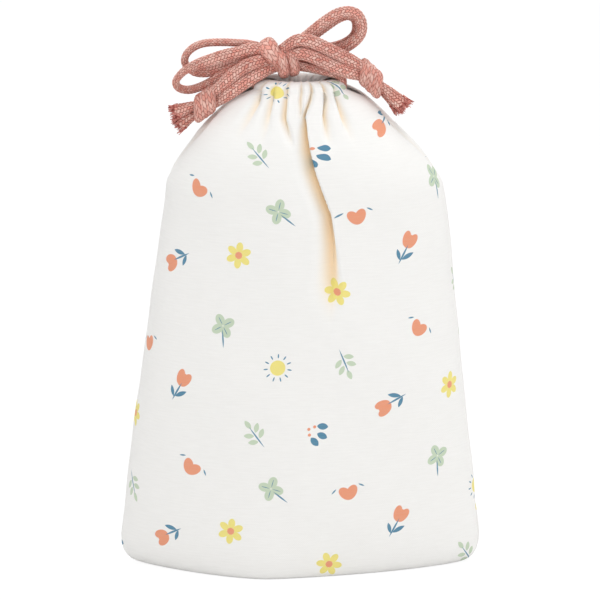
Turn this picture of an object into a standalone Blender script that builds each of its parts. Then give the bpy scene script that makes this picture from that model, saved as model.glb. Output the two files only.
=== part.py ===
"""Kinchaku drawstring pouch: a gathered cotton bag with two braided drawstrings tied in a bow.

Metres, +Z up. The pouch stands on z = 0, and its front faces -Y.
"""

import math

import bmesh
import bpy
import numpy as np
from mathutils import Vector

# The pouch's outer size. Widths run along X and depths along Y.
RIM_HEIGHT = 0.208
BASE_WIDTH = 0.1546
BASE_DEPTH = 0.074
BELLY_BULGE = 0.005
SHOULDER_WIDTH = 0.1160
SHOULDER_DEPTH = 0.0612
SHOULDER_HEIGHT = 0.163
SHOULDER_ROUNDNESS = 1.53
DOME_ROUNDNESS = 2.1
BASE_SQUARENESS = 1.38
BODY_SQUARENESS = 2.15
FRONT_CORNER_SHIFT = 0.014
FRONT_CORNER_HEIGHT = 0.102
BODY_LEAN = 0.0021
LEAN_HEIGHT = 0.190
LEAN_CROWDING = 2.6
CORNER_ROUND_WIDTH = 0.0095
CORNER_ROUND_DEPTH = 0.0035
CORNER_ROUND_HEIGHT = 0.012
CLOTH_THICKNESS = 0.0009

# The mouth: the ring that the strings are drawn to, and the channel round it.
RING_HALF_WIDTH = 0.0134
RING_HALF_DEPTH = 0.0079
RING_SQUARENESS = 2.4
CORD_DIAMETER = 0.0038
CHANNEL_CLEARANCE = 0.0008
CHANNEL_NECK = 0.0108
HEM_HEIGHT = 0.0140
HEM_INSET = 0.0042
SLIT_DEPTH = 0.0092

# The gathers, and where their hollows lie as fractions of the way round.
PLEATS = 12
COLUMNS_PER_PLEAT = 8
FIRST_HOLLOW = 0.0175
GATHER_DEPTH = 0.0034
INNER_GATHER_DEPTH = 0.0006
GATHER_SWELL = 0.033
SLIT_FOOT_COLUMNS = 3
SLIT_COLUMNS = 5
RING_END_COLUMNS = 8

# The cord's solids outside the channel.
CORD_GAP = 0.0003
LEAD_IN = 0.010
STRAIGHT_LEAD = 0.0012
BOW_CENTRE = (-0.0088, -0.0005, 0.2166)
BOW_SIZE = (0.0164, 0.0120, 0.0146)
LEFT_KNOT_CENTRE = (-0.0393, -0.0030, 0.1968)
RIGHT_KNOT_CENTRE = (0.0290, -0.0030, 0.2078)
END_KNOT_SIZE = (0.0120, 0.0116, 0.0142)
FRAYED_FLARE = 1.35

# How far each hollow runs down from the rim, starting at the right side seam and going round the back.
HOLLOW_LENGTHS = (0.044, 0.020, 0.030, 0.022, 0.034, 0.024, 0.040, 0.022, 0.021, 0.026, 0.022, 0.024)

# Long folds that run on down the cloth: (way round, distance below the rim, depth) along each one.
FRONT_FOLD = (
    (0.760, 0.008, 0.0),
    (0.761, 0.020, 0.0062),
    (0.766, 0.033, 0.0090),
    (0.780, 0.046, 0.0086),
    (0.790, 0.058, 0.0074),
    (0.793, 0.074, 0.0050),
    (0.791, 0.092, 0.0022),
    (0.789, 0.110, 0.0),
)
BACK_FOLD = (
    (0.265, 0.008, 0.0),
    (0.262, 0.022, 0.0060),
    (0.255, 0.040, 0.0082),
    (0.246, 0.062, 0.0060),
    (0.240, 0.085, 0.0024),
    (0.238, 0.100, 0.0),
)
BACK_RIGHT_FOLD = (
    (0.105, 0.008, 0.0),
    (0.110, 0.024, 0.0044),
    (0.118, 0.042, 0.0046),
    (0.124, 0.062, 0.0020),
    (0.126, 0.076, 0.0),
)
BACK_LEFT_FOLD = (
    (0.432, 0.008, 0.0),
    (0.428, 0.022, 0.0040),
    (0.418, 0.038, 0.0050),
    (0.408, 0.056, 0.0024),
    (0.404, 0.072, 0.0),
)
FOLDS = (FRONT_FOLD, BACK_FOLD, BACK_RIGHT_FOLD, BACK_LEFT_FOLD)
FOLD_GENTLE_SIDE = 0.0100
FOLD_STEEP_SIDE = 0.0060

# Routes of the strings, from the slits through the bow to the end knots, in metres.
LEFT_FRONT_STAND = ((-0.0160, -0.0021, 0.2044), (-0.0188, -0.0021, 0.2058), (-0.0197, -0.0021, 0.2089),
                    (-0.0180, -0.0021, 0.2120), (-0.0150, -0.0018, 0.2142), (-0.0110, -0.0014, 0.2160))
LEFT_BACK_STAND = ((-0.0160, 0.0021, 0.2044), (-0.0188, 0.0021, 0.2058), (-0.0197, 0.0022, 0.2089),
                   (-0.0180, 0.0023, 0.2118), (-0.0150, 0.0025, 0.2140), (-0.0110, 0.0020, 0.2160))
RIGHT_FRONT_STAND = ((0.0160, -0.0021, 0.2005), (0.0188, -0.0021, 0.2024), (0.0196, -0.0023, 0.2056),
                     (0.0176, -0.0028, 0.2086), (0.0136, -0.0031, 0.2102), (0.0080, -0.0030, 0.2116),
                     (0.0020, -0.0028, 0.2128), (-0.0040, -0.0020, 0.2140))
RIGHT_BACK_STAND = ((0.0160, 0.0021, 0.2005), (0.0188, 0.0021, 0.2024), (0.0196, 0.0024, 0.2056),
                    (0.0176, 0.0028, 0.2086), (0.0136, 0.0033, 0.2102), (0.0080, 0.0032, 0.2114),
                    (0.0020, 0.0028, 0.2126), (-0.0040, 0.0018, 0.2140))
LEFT_BACK_LOOP = ((-0.0100, 0.0010, 0.2190), (-0.0202, 0.0010, 0.2220), (-0.0265, 0.0020, 0.2224),
                  (-0.0353, 0.0030, 0.2224), (-0.0412, 0.0035, 0.2216), (-0.0454, 0.0040, 0.2194),
                  (-0.0479, 0.0045, 0.2162), (-0.0479, 0.0050, 0.2127), (-0.0445, 0.0050, 0.2095),
                  (-0.0399, 0.0052, 0.2092), (-0.0353, 0.0054, 0.2105), (-0.0302, 0.0054, 0.2127),
                  (-0.0248, 0.0052, 0.2148), (-0.0190, 0.0054, 0.2164), (-0.0100, 0.0034, 0.2176))
LEFT_FRONT_LOOP = ((-0.0100, -0.0030, 0.2196), (-0.0202, -0.0048, 0.2210), (-0.0252, -0.0055, 0.2198),
                   (-0.0311, -0.0055, 0.2185), (-0.0370, -0.0055, 0.2166), (-0.0424, -0.0050, 0.2148),
                   (-0.0475, -0.0045, 0.2123), (-0.0508, -0.0040, 0.2091), (-0.0519, -0.0030, 0.2063),
                   (-0.0504, -0.0014, 0.2038), (-0.0468, 0.0006, 0.2026), (-0.0426, 0.0024, 0.2032),
                   (-0.0380, 0.0028, 0.2052), (-0.0336, 0.0022, 0.2080), (-0.0269, 0.0012, 0.2118),
                   (-0.0202, 0.0006, 0.2158), (-0.0110, 0.0002, 0.2180))
LEFT_UPPER_TAIL = ((-0.0120, -0.0046, 0.2168), (-0.0205, -0.0084, 0.2156), (-0.0260, -0.0085, 0.2123),
                   (-0.0302, -0.0080, 0.2088), (-0.0340, -0.0065, 0.2050), (-0.0393, -0.0040, 0.1990))
LEFT_LOWER_TAIL = ((-0.0120, -0.0040, 0.2130), (-0.0196, -0.0080, 0.2098), (-0.0250, -0.0085, 0.2062),
                   (-0.0292, -0.0075, 0.2030), (-0.0330, -0.0060, 0.2002), (-0.0393, -0.0040, 0.1960))
RIGHT_OUTER_LOOP = ((-0.0080, -0.0030, 0.2190), (0.0010, -0.0038, 0.2251), (0.0055, -0.0040, 0.2288),
                    (0.0101, -0.0038, 0.2325), (0.0151, -0.0034, 0.2356), (0.0197, -0.0026, 0.2366),
                    (0.0236, -0.0018, 0.2352), (0.0256, -0.0008, 0.2311), (0.0250, 0.0002, 0.2262),
                    (0.0214, 0.0006, 0.2224), (0.0160, 0.0008, 0.2196), (0.0092, 0.0008, 0.2180),
                    (0.0025, 0.0006, 0.2170), (-0.0080, 0.0000, 0.2170))
RIGHT_INNER_LOOP = ((-0.0080, 0.0020, 0.2190), (0.0010, 0.0020, 0.2222), (0.0061, 0.0022, 0.2256),
                    (0.0107, 0.0024, 0.2292), (0.0152, 0.0028, 0.2322), (0.0192, 0.0034, 0.2332),
                    (0.0220, 0.0042, 0.2316), (0.0228, 0.0050, 0.2283), (0.0220, 0.0055, 0.2250),
                    (0.0190, 0.0058, 0.2220), (0.0143, 0.0058, 0.2200), (0.0080, 0.0056, 0.2186),
                    (0.0021, 0.0054, 0.2176), (-0.0080, 0.0034, 0.2170))
RIGHT_UPPER_TAIL = ((-0.0080, -0.0040, 0.2200), (-0.0017, -0.0085, 0.2254), (0.0034, -0.0090, 0.2256),
                    (0.0084, -0.0090, 0.2237), (0.0139, -0.0085, 0.2208), (0.0197, -0.0075, 0.2177),
                    (0.0248, -0.0060, 0.2146), (0.0290, -0.0040, 0.2100))
RIGHT_LOWER_TAIL = ((-0.0080, -0.0040, 0.2160), (-0.0004, -0.0088, 0.2200), (0.0046, -0.0092, 0.2190),
                    (0.0101, -0.0090, 0.2166), (0.0155, -0.0085, 0.2138), (0.0206, -0.0072, 0.2110),
                    (0.0250, -0.0052, 0.2084), (0.0290, -0.0040, 0.2060))
LEFT_UPPER_FRAY = ((-0.0393, -0.0040, 0.1980), (-0.0448, -0.0040, 0.1962), (-0.0490, -0.0040, 0.1952),
                   (-0.0536, -0.0040, 0.1940))
LEFT_LOWER_FRAY = ((-0.0393, -0.0020, 0.1960), (-0.0432, -0.0020, 0.1920), (-0.0466, -0.0020, 0.1892),
                   (-0.0504, -0.0020, 0.1866))
RIGHT_UPPER_FRAY = ((0.0290, -0.0040, 0.2080), (0.0353, -0.0044, 0.2056), (0.0403, -0.0046, 0.2022),
                    (0.0450, -0.0046, 0.1984))
RIGHT_LOWER_FRAY = ((0.0290, -0.0020, 0.2060), (0.0328, -0.0020, 0.2016), (0.0368, -0.0020, 0.1976),
                    (0.0412, -0.0020, 0.1938))

CLOTH_COLOUR = (0.90, 0.88, 0.84)
CORD_COLOUR = (0.58, 0.24, 0.20)

# How finely the shapes are drawn. Wall rows crowd towards the shoulder, where the cloth curves most.
WALL_ROWS = 14
ROW_CROWDING = 1.85
CORNER_ROWS = (0.0, 0.12, 0.45)
SECTION_SAMPLES = 1440
DIRECTION_REACH = 0.004
CORD_SPACING = 1.5 * CORD_DIAMETER
TIGHT_SPACING = 0.6 * CORD_DIAMETER
ROUTE_STEPS = 24
RING_POINTS = 24
KNOT_SEGMENTS = 16
KNOT_RINGS = 10

COLUMNS = PLEATS * COLUMNS_PER_PLEAT
POCKET = CORD_DIAMETER / 2 + CHANNEL_CLEARANCE + CLOTH_THICKNESS
FOLD_OVER_START = RIM_HEIGHT - POCKET


def clear_scene():
    for thing in list(bpy.data.objects):
        bpy.data.objects.remove(thing, do_unlink=True)


def make_material(name, colour, roughness):
    material = bpy.data.materials.new(name)
    material.use_nodes = True
    shader = material.node_tree.nodes["Principled BSDF"]
    shader.inputs["Base Color"].default_value = (*colour, 1.0)
    shader.inputs["Roughness"].default_value = roughness
    shader.inputs["Metallic"].default_value = 0.0
    return material


def closed_curve(half_width, half_depth, squareness, front_shift, lean):
    """Dense points once round a superellipse from the right side seam, by way of the back."""
    turn = np.linspace(0.0, 2.0 * math.pi, SECTION_SAMPLES + 1)
    power = 2.0 / squareness
    x = half_width * np.sign(np.cos(turn)) * np.abs(np.cos(turn)) ** power
    y = half_depth * np.sign(np.sin(turn)) * np.abs(np.sin(turn)) ** power
    x = x + front_shift * (y / half_depth) * np.abs(y / half_depth) + lean
    return np.column_stack((x, y))


def along_curve(curve, fractions):
    """Points and outward directions at fractions of the curve's length."""
    steps = np.linalg.norm(np.diff(curve, axis=0), axis=1)
    way = np.concatenate(([0.0], np.cumsum(steps))) / steps.sum()
    wrapped = np.mod(fractions, 1.0)
    before = np.mod(wrapped - DIRECTION_REACH, 1.0)
    after = np.mod(wrapped + DIRECTION_REACH, 1.0)
    points = np.column_stack([np.interp(wrapped, way, curve[:, k]) for k in (0, 1)])
    ahead = np.column_stack([np.interp(after, way, curve[:, k]) for k in (0, 1)])
    behind = np.column_stack([np.interp(before, way, curve[:, k]) for k in (0, 1)])
    tangent = ahead - behind
    outward = np.column_stack((tangent[:, 1], -tangent[:, 0]))
    return points, outward / np.linalg.norm(outward, axis=1)[:, None]


def wall_half_width(height):
    share = height / SHOULDER_HEIGHT
    return BASE_WIDTH / 2 + (SHOULDER_WIDTH - BASE_WIDTH) / 2 * share


def wall_half_depth(height):
    share = height / SHOULDER_HEIGHT
    straight = BASE_DEPTH / 2 + (SHOULDER_DEPTH - BASE_DEPTH) / 2 * share
    return straight + BELLY_BULGE * math.sin(math.pi * min(height / RIM_HEIGHT, 1.0))


def corner_inset(height, width):
    """How far the cloth has turned in towards the base, as a quarter of an ellipse."""
    if height >= CORNER_ROUND_HEIGHT:
        return 0.0
    rise = 1.0 - height / CORNER_ROUND_HEIGHT
    return width * (1.0 - math.sqrt(1.0 - rise * rise))


def section(height):
    """The outer cloth at a height, without its gathers: half width, half depth, squareness, front shift
    and how far it leans to the right."""
    half_width = wall_half_width(height) - corner_inset(height, CORNER_ROUND_WIDTH)
    half_depth = wall_half_depth(height) - corner_inset(height, CORNER_ROUND_DEPTH)
    mouth_width = RING_HALF_WIDTH + POCKET + GATHER_DEPTH
    mouth_depth = RING_HALF_DEPTH + POCKET + GATHER_DEPTH
    if height > SHOULDER_HEIGHT:
        climb = (height - SHOULDER_HEIGHT) / (RIM_HEIGHT - SHOULDER_HEIGHT)
        half_width = mouth_width + (half_width - mouth_width) * (1.0 - climb ** SHOULDER_ROUNDNESS)
        half_depth = mouth_depth + (half_depth - mouth_depth) * (1.0 - climb ** DOME_ROUNDNESS)
    share = min(height / SHOULDER_HEIGHT, 1.0)
    squareness = BASE_SQUARENESS + (BODY_SQUARENESS - BASE_SQUARENESS) * min(2.0 * share, 1.0)
    front_shift = FRONT_CORNER_SHIFT * max(0.0, 1.0 - height / FRONT_CORNER_HEIGHT)
    lean = BODY_LEAN * math.sin(math.pi * min(height / LEAN_HEIGHT, 1.0) ** LEAN_CROWDING)
    return half_width, half_depth, squareness, front_shift, lean


def column_places():
    return FIRST_HOLLOW + np.arange(COLUMNS) / COLUMNS


def hollow_profile():
    """One at the bottom of each hollow between pleats, nothing on each pleat's broad crest."""
    wave = np.cos(2.0 * math.pi * np.arange(COLUMNS) / COLUMNS_PER_PLEAT)
    return (0.5 + 0.5 * wave) ** 1.5


def gather_depths(below_rim):
    """Depth of the small gathers at a distance below the rim. Each hollow fades out at its own length."""
    index = np.arange(COLUMNS) / COLUMNS_PER_PLEAT
    nearest = np.round(index).astype(int) % PLEATS
    lengths = np.array(HOLLOW_LENGTHS)[nearest]
    fade = np.clip(1.0 - (below_rim / lengths) ** 2, 0.0, 1.0) ** 1.5
    return GATHER_DEPTH * (1.0 + below_rim / GATHER_SWELL) * fade * hollow_profile()


def fold_depths(below_rim, girth):
    """Depth of the long folds: gentle on the side that runs in, steep on the side that overhangs."""
    total = np.zeros(COLUMNS)
    for fold in FOLDS:
        ways, falls, depths = zip(*fold)
        depth = np.interp(below_rim, falls, depths, left=0.0, right=0.0)
        place = np.interp(below_rim, falls, ways)
        offset = np.mod(column_places() - place + 0.5, 1.0) - 0.5
        distance = offset * girth
        reach = np.where(distance < 0.0, FOLD_GENTLE_SIDE, FOLD_STEEP_SIDE)
        nearness = np.clip(1.0 - np.abs(distance) / reach, 0.0, 1.0)
        total = np.maximum(total, depth * nearness * nearness * (3.0 - 2.0 * nearness))
    return total


def outer_row(height):
    """One row of the outer cloth, with gathers and folds pressed in from the plain section."""
    curve = closed_curve(*section(height))
    girth = np.linalg.norm(np.diff(curve, axis=0), axis=1).sum()
    points, outward = along_curve(curve, column_places())
    below_rim = RIM_HEIGHT - height
    depth = np.maximum(gather_depths(below_rim), fold_depths(below_rim, girth))
    pressed = points - outward * depth[:, None]
    return np.column_stack((pressed, np.full(COLUMNS, height)))


def ring_row(offset, height, gather):
    """One row that follows the drawn-up ring at an offset, with a pleat's depth added on each crest."""
    curve = closed_curve(RING_HALF_WIDTH + offset, RING_HALF_DEPTH + offset, RING_SQUARENESS, 0.0, 0.0)
    points, outward = along_curve(curve, column_places() - FIRST_HOLLOW)
    moved = points + outward * (gather * (1.0 - hollow_profile()))[:, None]
    return np.column_stack((moved, np.full(COLUMNS, height)))


def stitch_row():
    """The hem's lower edge, just inside the outer cloth all the way round."""
    height = RIM_HEIGHT - HEM_HEIGHT
    row = outer_row(height)
    curve = closed_curve(*section(height))
    _, outward = along_curve(curve, column_places())
    row[:, :2] -= outward * HEM_INSET
    return row


def fold_over_rows(outer, inner):
    """The cloth's turn over the top of the strings, from the outer layer to the hem."""
    rows = []
    for angle in (45.0, 90.0, 135.0):
        lean = math.cos(math.radians(angle))
        lift = math.sin(math.radians(angle))
        middle = (outer + inner) / 2
        row = middle + (outer - middle) * lean
        row[:, 2] = FOLD_OVER_START + POCKET * lift
        rows.append(row)
    return rows


def pouch_rows():
    """Rows from the base up the outside, over the rim and down inside to the hem's edge."""
    slit_foot = RIM_HEIGHT - SLIT_DEPTH
    stitch_height = RIM_HEIGHT - HEM_HEIGHT
    left_to_climb = np.linspace(1.0, 0.0, WALL_ROWS) ** ROW_CROWDING
    walls = stitch_height - (stitch_height - CORNER_ROUND_HEIGHT) * left_to_climb
    corner = [share * CORNER_ROUND_HEIGHT for share in CORNER_ROWS]
    heights = [*corner, *walls, slit_foot]
    rows = [outer_row(height) for height in heights]
    outer = ring_row(POCKET, FOLD_OVER_START, GATHER_DEPTH)
    inner = ring_row(-POCKET, FOLD_OVER_START, -INNER_GATHER_DEPTH)
    foot = ring_row(-POCKET, slit_foot, -INNER_GATHER_DEPTH)
    neck = ring_row(-POCKET, RIM_HEIGHT - CHANNEL_NECK, -INNER_GATHER_DEPTH)
    rows.append(outer)
    rows += fold_over_rows(outer, inner)
    rows += [inner, foot, neck, stitch_row()]
    return rows


def clear_of_slits(column, width):
    """The column itself, or the slit's edge where the column lies in one of the two side slits."""
    half_way = COLUMNS // 2
    offset = (column + half_way // 2) % half_way - half_way // 2
    if abs(offset) >= width:
        return column % COLUMNS
    edge = width if offset >= 0 else -width
    return (column - offset + edge) % COLUMNS


def in_slit(column, width):
    """True for a face between this column and the next that lies in a side slit."""
    half_way = COLUMNS // 2
    return (column + width) % half_way < 2 * width


def side_faces(rows, vertices):
    """Corner lists of the faces between rows, which leave the slits open and close in on their feet."""
    slit_foot = RIM_HEIGHT - SLIT_DEPTH
    widths = [0] * len(rows)
    for level, row in enumerate(rows):
        if row[0, 2] > slit_foot + CORD_GAP:
            widths[level] = SLIT_COLUMNS
        elif row[0, 2] > slit_foot - CORD_GAP:
            widths[level] = SLIT_FOOT_COLUMNS
    faces = []
    for level in range(len(rows) - 1):
        below, above = widths[level], widths[level + 1]
        narrow = min(below, above)
        for column in range(COLUMNS):
            if narrow and in_slit(column, narrow):
                continue
            corners = []
            for row, place in ((level, column), (level, column + 1), (level + 1, column + 1), (level + 1, column)):
                width = (below if row == level else above) if narrow else 0
                vertex = vertices[row][clear_of_slits(place, width)]
                if vertex not in corners:
                    corners.append(vertex)
            if len(corners) > 2:
                faces.append(corners)
    return faces


def add_pouch(collection):
    rows = pouch_rows()
    shape = bmesh.new()
    vertices = [[shape.verts.new(point) for point in row] for row in rows]
    shape.faces.new(list(reversed(vertices[0])))
    for corners in side_faces(rows, vertices):
        shape.faces.new(corners)
    loose = [vertex for vertex in shape.verts if not vertex.link_faces]
    bmesh.ops.delete(shape, geom=loose, context="VERTS")
    mesh = bpy.data.meshes.new("pouch_body")
    shape.to_mesh(mesh)
    shape.free()
    mesh.shade_smooth()
    pouch = bpy.data.objects.new("pouch_body", mesh)
    shell = pouch.modifiers.new("Cloth", "SOLIDIFY")
    shell.thickness = CLOTH_THICKNESS
    shell.offset = -1.0
    shell.use_even_offset = True
    mesh.materials.append(make_material("cotton_cloth", CLOTH_COLOUR, 0.92))
    collection.objects.link(pouch)


def smooth_route(points):
    """Close-set points on a smooth curve through the route's own points."""
    route = [Vector(point) for point in points]
    route = [2 * route[0] - route[1], *route, 2 * route[-1] - route[-2]]
    dense = []
    for before, start, end, after in zip(route, route[1:], route[2:], route[3:]):
        for step in range(ROUTE_STEPS):
            t = step / ROUTE_STEPS
            dense.append(0.5 * ((2 * start) + (end - before) * t
                                + (2 * before - 5 * start + 4 * end - after) * t * t
                                + (3 * start - before - 3 * end + after) * t * t * t))
    dense.append(route[-2])
    return dense


def outside(point, centre, size, margin):
    """True where a point lies outside an egg-shaped knot by more than the margin."""
    total = sum(((point[k] - centre[k]) / (size[k] / 2 + margin)) ** 2 for k in range(3))
    return total > 1.0


def end_is_clear(point, direction, knots):
    """True where the cord's round end at this point stays clear of every knot."""
    side = direction.orthogonal().normalized() * CORD_DIAMETER / 2
    across = direction.cross(side).normalized() * CORD_DIAMETER / 2
    corners = [point]
    for turn in range(12):
        angle = turn * math.pi / 6
        spoke = side * math.cos(angle) + across * math.sin(angle)
        corners += [point + spoke, point + 0.7 * spoke, point + 0.4 * spoke]
    return all(outside(corner, *knot, CORD_GAP) for corner in corners for knot in knots)


def trim_to_knots(dense, knots):
    """The longest stretch of a route that stays clear of the knots it meets."""
    clear = []
    for index, point in enumerate(dense):
        towards = dense[min(index + 1, len(dense) - 1)] - dense[max(index - 1, 0)]
        clear.append(end_is_clear(point, towards.normalized(), knots))
    best, start = (0, 0), None
    for index, free in enumerate([*clear, False]):
        if free and start is None:
            start = index
        if not free and start is not None:
            best = max(best, (start, index), key=lambda span: span[1] - span[0])
            start = None
    return dense[best[0]:best[1]]


def evenly_spaced(dense, spacing):
    way = [0.0]
    for before, after in zip(dense, dense[1:]):
        way.append(way[-1] + (after - before).length)
    count = max(3, math.ceil(way[-1] / spacing) + 1)
    places = np.linspace(0.0, way[-1], count)
    axes = [np.interp(places, way, [point[k] for point in dense]) for k in range(3)]
    return list(zip(*axes))


def add_cord(collection, name, points, material, flare=1.0):
    """A plain round tube along the points, with closed ends."""
    data = bpy.data.curves.new(name, "CURVE")
    data.dimensions = "3D"
    data.bevel_depth = CORD_DIAMETER / 2
    data.bevel_resolution = 2
    data.use_fill_caps = True
    data.resolution_u = 1
    spline = data.splines.new("POLY")
    spline.points.add(len(points) - 1)
    for index, place in enumerate(points):
        spline.points[index].co = (*place, 1.0)
        spline.points[index].radius = 1.0 + (flare - 1.0) * index / (len(points) - 1)
    data.materials.append(material)
    collection.objects.link(bpy.data.objects.new(name, data))


def add_knot(collection, name, centre, size, material):
    """A knot's outer shape as one rounded solid."""
    shape = bmesh.new()
    bmesh.ops.create_uvsphere(shape, u_segments=KNOT_SEGMENTS, v_segments=KNOT_RINGS, radius=0.5)
    for vertex in shape.verts:
        vertex.co = Vector(centre) + Vector(vertex.co[k] * size[k] for k in range(3))
    mesh = bpy.data.meshes.new(name)
    shape.to_mesh(mesh)
    shape.free()
    mesh.shade_smooth()
    mesh.materials.append(material)
    collection.objects.link(bpy.data.objects.new(name, mesh))


def add_channel_ring(collection, name, height, slit, material):
    """A string's hidden stretch: once round the channel, from its own slit back to it."""
    curve = closed_curve(RING_HALF_WIDTH, RING_HALF_DEPTH, RING_SQUARENESS, 0.0, 0.0)
    opening = RING_END_COLUMNS / COLUMNS
    fractions = np.linspace(slit + opening, slit + 1.0 - opening, RING_POINTS)
    points, _ = along_curve(curve, fractions)
    add_cord(collection, name, [(x, y, height) for x, y in points], material)


def leave_channel(slit, side, height):
    """Where a strand takes over from the string's hidden stretch, heading for the slit."""
    curve = closed_curve(RING_HALF_WIDTH, RING_HALF_DEPTH, RING_SQUARENESS, 0.0, 0.0)
    end = slit + side * RING_END_COLUMNS / COLUMNS
    places = np.array([end, end - side * LEAD_IN, end + side * LEAD_IN])
    start, near, far = along_curve(curve, places)[0]
    towards = (near - far) / np.linalg.norm(near - far)
    begin = start + towards * CORD_GAP
    return tuple((*(begin + towards * reach), height) for reach in (0.0, STRAIGHT_LEAD))


def add_cords(collection):
    bow = (BOW_CENTRE, BOW_SIZE)
    left = (LEFT_KNOT_CENTRE, END_KNOT_SIZE)
    right = (RIGHT_KNOT_CENTRE, END_KNOT_SIZE)
    upper_ring = FOLD_OVER_START - CORD_GAP
    lower_ring = upper_ring - CORD_DIAMETER - CORD_GAP
    left_slit = 0.5
    right_slit = 0.0
    left_cord = make_material("cord_left", CORD_COLOUR, 0.85)
    right_cord = make_material("cord_right", CORD_COLOUR, 0.85)
    add_channel_ring(collection, "left_drawstring_in_channel", upper_ring, left_slit, left_cord)
    add_channel_ring(collection, "right_drawstring_in_channel", lower_ring, right_slit, right_cord)
    add_knot(collection, "bow_knot", *bow, left_cord)
    add_knot(collection, "left_end_knot", *left, left_cord)
    add_knot(collection, "right_end_knot", *right, right_cord)
    left_front = (*leave_channel(left_slit, 1, upper_ring), *LEFT_FRONT_STAND)
    left_back = (*leave_channel(left_slit, -1, upper_ring), *LEFT_BACK_STAND)
    right_front = (*leave_channel(right_slit, -1, lower_ring), *RIGHT_FRONT_STAND)
    right_back = (*leave_channel(right_slit, 1, lower_ring), *RIGHT_BACK_STAND)
    stretches = (
        ("left_front_strand", left_front, (bow,), left_cord, 1.0),
        ("left_back_strand", left_back, (bow,), left_cord, 1.0),
        ("right_front_strand", right_front, (bow,), right_cord, 1.0),
        ("right_back_strand", right_back, (bow,), right_cord, 1.0),
        ("left_loop_back", LEFT_BACK_LOOP, (bow,), left_cord, 1.0),
        ("left_loop_front", LEFT_FRONT_LOOP, (bow,), left_cord, 1.0),
        ("right_loop_outer", RIGHT_OUTER_LOOP, (bow,), right_cord, 1.0),
        ("right_loop_inner", RIGHT_INNER_LOOP, (bow,), right_cord, 1.0),
        ("left_tail_upper", LEFT_UPPER_TAIL, (bow, left), left_cord, 1.0),
        ("left_tail_lower", LEFT_LOWER_TAIL, (bow, left), left_cord, 1.0),
        ("right_tail_upper", RIGHT_UPPER_TAIL, (bow, right), right_cord, 1.0),
        ("right_tail_lower", RIGHT_LOWER_TAIL, (bow, right), right_cord, 1.0),
        ("left_end_upper", LEFT_UPPER_FRAY, (left,), left_cord, FRAYED_FLARE),
        ("left_end_lower", LEFT_LOWER_FRAY, (left,), left_cord, FRAYED_FLARE),
        ("right_end_upper", RIGHT_UPPER_FRAY, (right,), right_cord, FRAYED_FLARE),
        ("right_end_lower", RIGHT_LOWER_FRAY, (right,), right_cord, FRAYED_FLARE),
    )
    for name, route, knots, material, flare in stretches:
        free = trim_to_knots(smooth_route(route), knots)
        spacing = TIGHT_SPACING if name.endswith("strand") else CORD_SPACING
        add_cord(collection, name, evenly_spaced(free, spacing), material, flare)


clear_scene()
pouch_collection = bpy.data.collections.new("kinchaku_drawstring_pouch")
bpy.context.scene.collection.children.link(pouch_collection)
add_pouch(pouch_collection)
add_cords(pouch_collection)
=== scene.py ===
# Looks of a drawstring pouch: printed cotton, gathered on two braided strings that are tied in a bow.
import math

import bmesh
import bpy
import numpy as np
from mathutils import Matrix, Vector


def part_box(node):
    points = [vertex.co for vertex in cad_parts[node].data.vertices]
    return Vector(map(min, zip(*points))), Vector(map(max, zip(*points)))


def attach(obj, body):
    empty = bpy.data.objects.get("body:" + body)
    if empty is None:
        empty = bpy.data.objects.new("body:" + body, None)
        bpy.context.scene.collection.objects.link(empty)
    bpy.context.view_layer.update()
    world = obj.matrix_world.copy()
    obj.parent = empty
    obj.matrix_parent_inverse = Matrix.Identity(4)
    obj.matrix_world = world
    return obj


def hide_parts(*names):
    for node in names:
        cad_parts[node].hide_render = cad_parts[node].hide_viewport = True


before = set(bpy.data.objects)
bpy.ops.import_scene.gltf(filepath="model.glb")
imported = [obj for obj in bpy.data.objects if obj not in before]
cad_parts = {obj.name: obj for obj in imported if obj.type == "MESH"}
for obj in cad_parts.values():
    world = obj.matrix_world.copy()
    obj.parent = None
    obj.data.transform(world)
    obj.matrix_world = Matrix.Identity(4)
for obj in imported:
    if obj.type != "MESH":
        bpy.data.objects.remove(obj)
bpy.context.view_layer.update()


# The camera.
# It stands a little above the pouch and far back, so that the pouch's sides keep their true slant.
camera_distance = 5.0
camera_elevation = math.radians(13.0)
view_width = 0.252
view_centre = Vector((0.0, 0.0, 0.1125))
towards_camera = Vector((0.0, -math.cos(camera_elevation), math.sin(camera_elevation)))
camera_data = bpy.data.cameras.new("camera")
camera_data.lens = camera_data.sensor_width * camera_distance / view_width
camera_data.clip_end = 20.0
camera = bpy.data.objects.new("camera", camera_data)
camera.location = view_centre + towards_camera * camera_distance
camera.rotation_euler = towards_camera.to_track_quat("Z", "Y").to_euler()
bpy.context.scene.collection.objects.link(camera)
bpy.context.scene.camera = camera


# The pouch's cloth.
# Two panels of thin woven cotton are sewn together at the sides and folded into a flat base. The top
# is turned in and stitched down as a channel, and the strings in it draw the cloth into pleats.
rim_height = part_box("pouch_body")[1].z
base_half_width = 0.0773
base_half_depth = 0.037
belly_bulge = 0.005
shoulder_half_width = 0.058
shoulder_half_depth = 0.0306
shoulder_height = 0.163
shoulder_roundness = 1.53
dome_roundness = 2.1
base_squareness = 1.38
body_squareness = 2.15
front_corner_shift = 0.014
front_corner_height = 0.102
corner_round = (0.0095, 0.0035, 0.012)
body_lean = 0.0021
lean_height = 0.190
lean_crowding = 2.6
cloth_thickness = 0.0009
ring_half_width = 0.0134
ring_half_depth = 0.0079
ring_squareness = 2.4
channel_pocket = 0.0036
pleat_depth = 0.0034
slit_foot = rim_height - 0.0092
turn_start = rim_height - channel_pocket
channel_neck = rim_height - 0.0108
stitch_line = rim_height - 0.0140
hem_inset = 0.0042
mouth_half_width = ring_half_width + channel_pocket + pleat_depth
mouth_half_depth = ring_half_depth + channel_pocket + pleat_depth
section_samples = 2880
cloth_columns = 320


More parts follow.
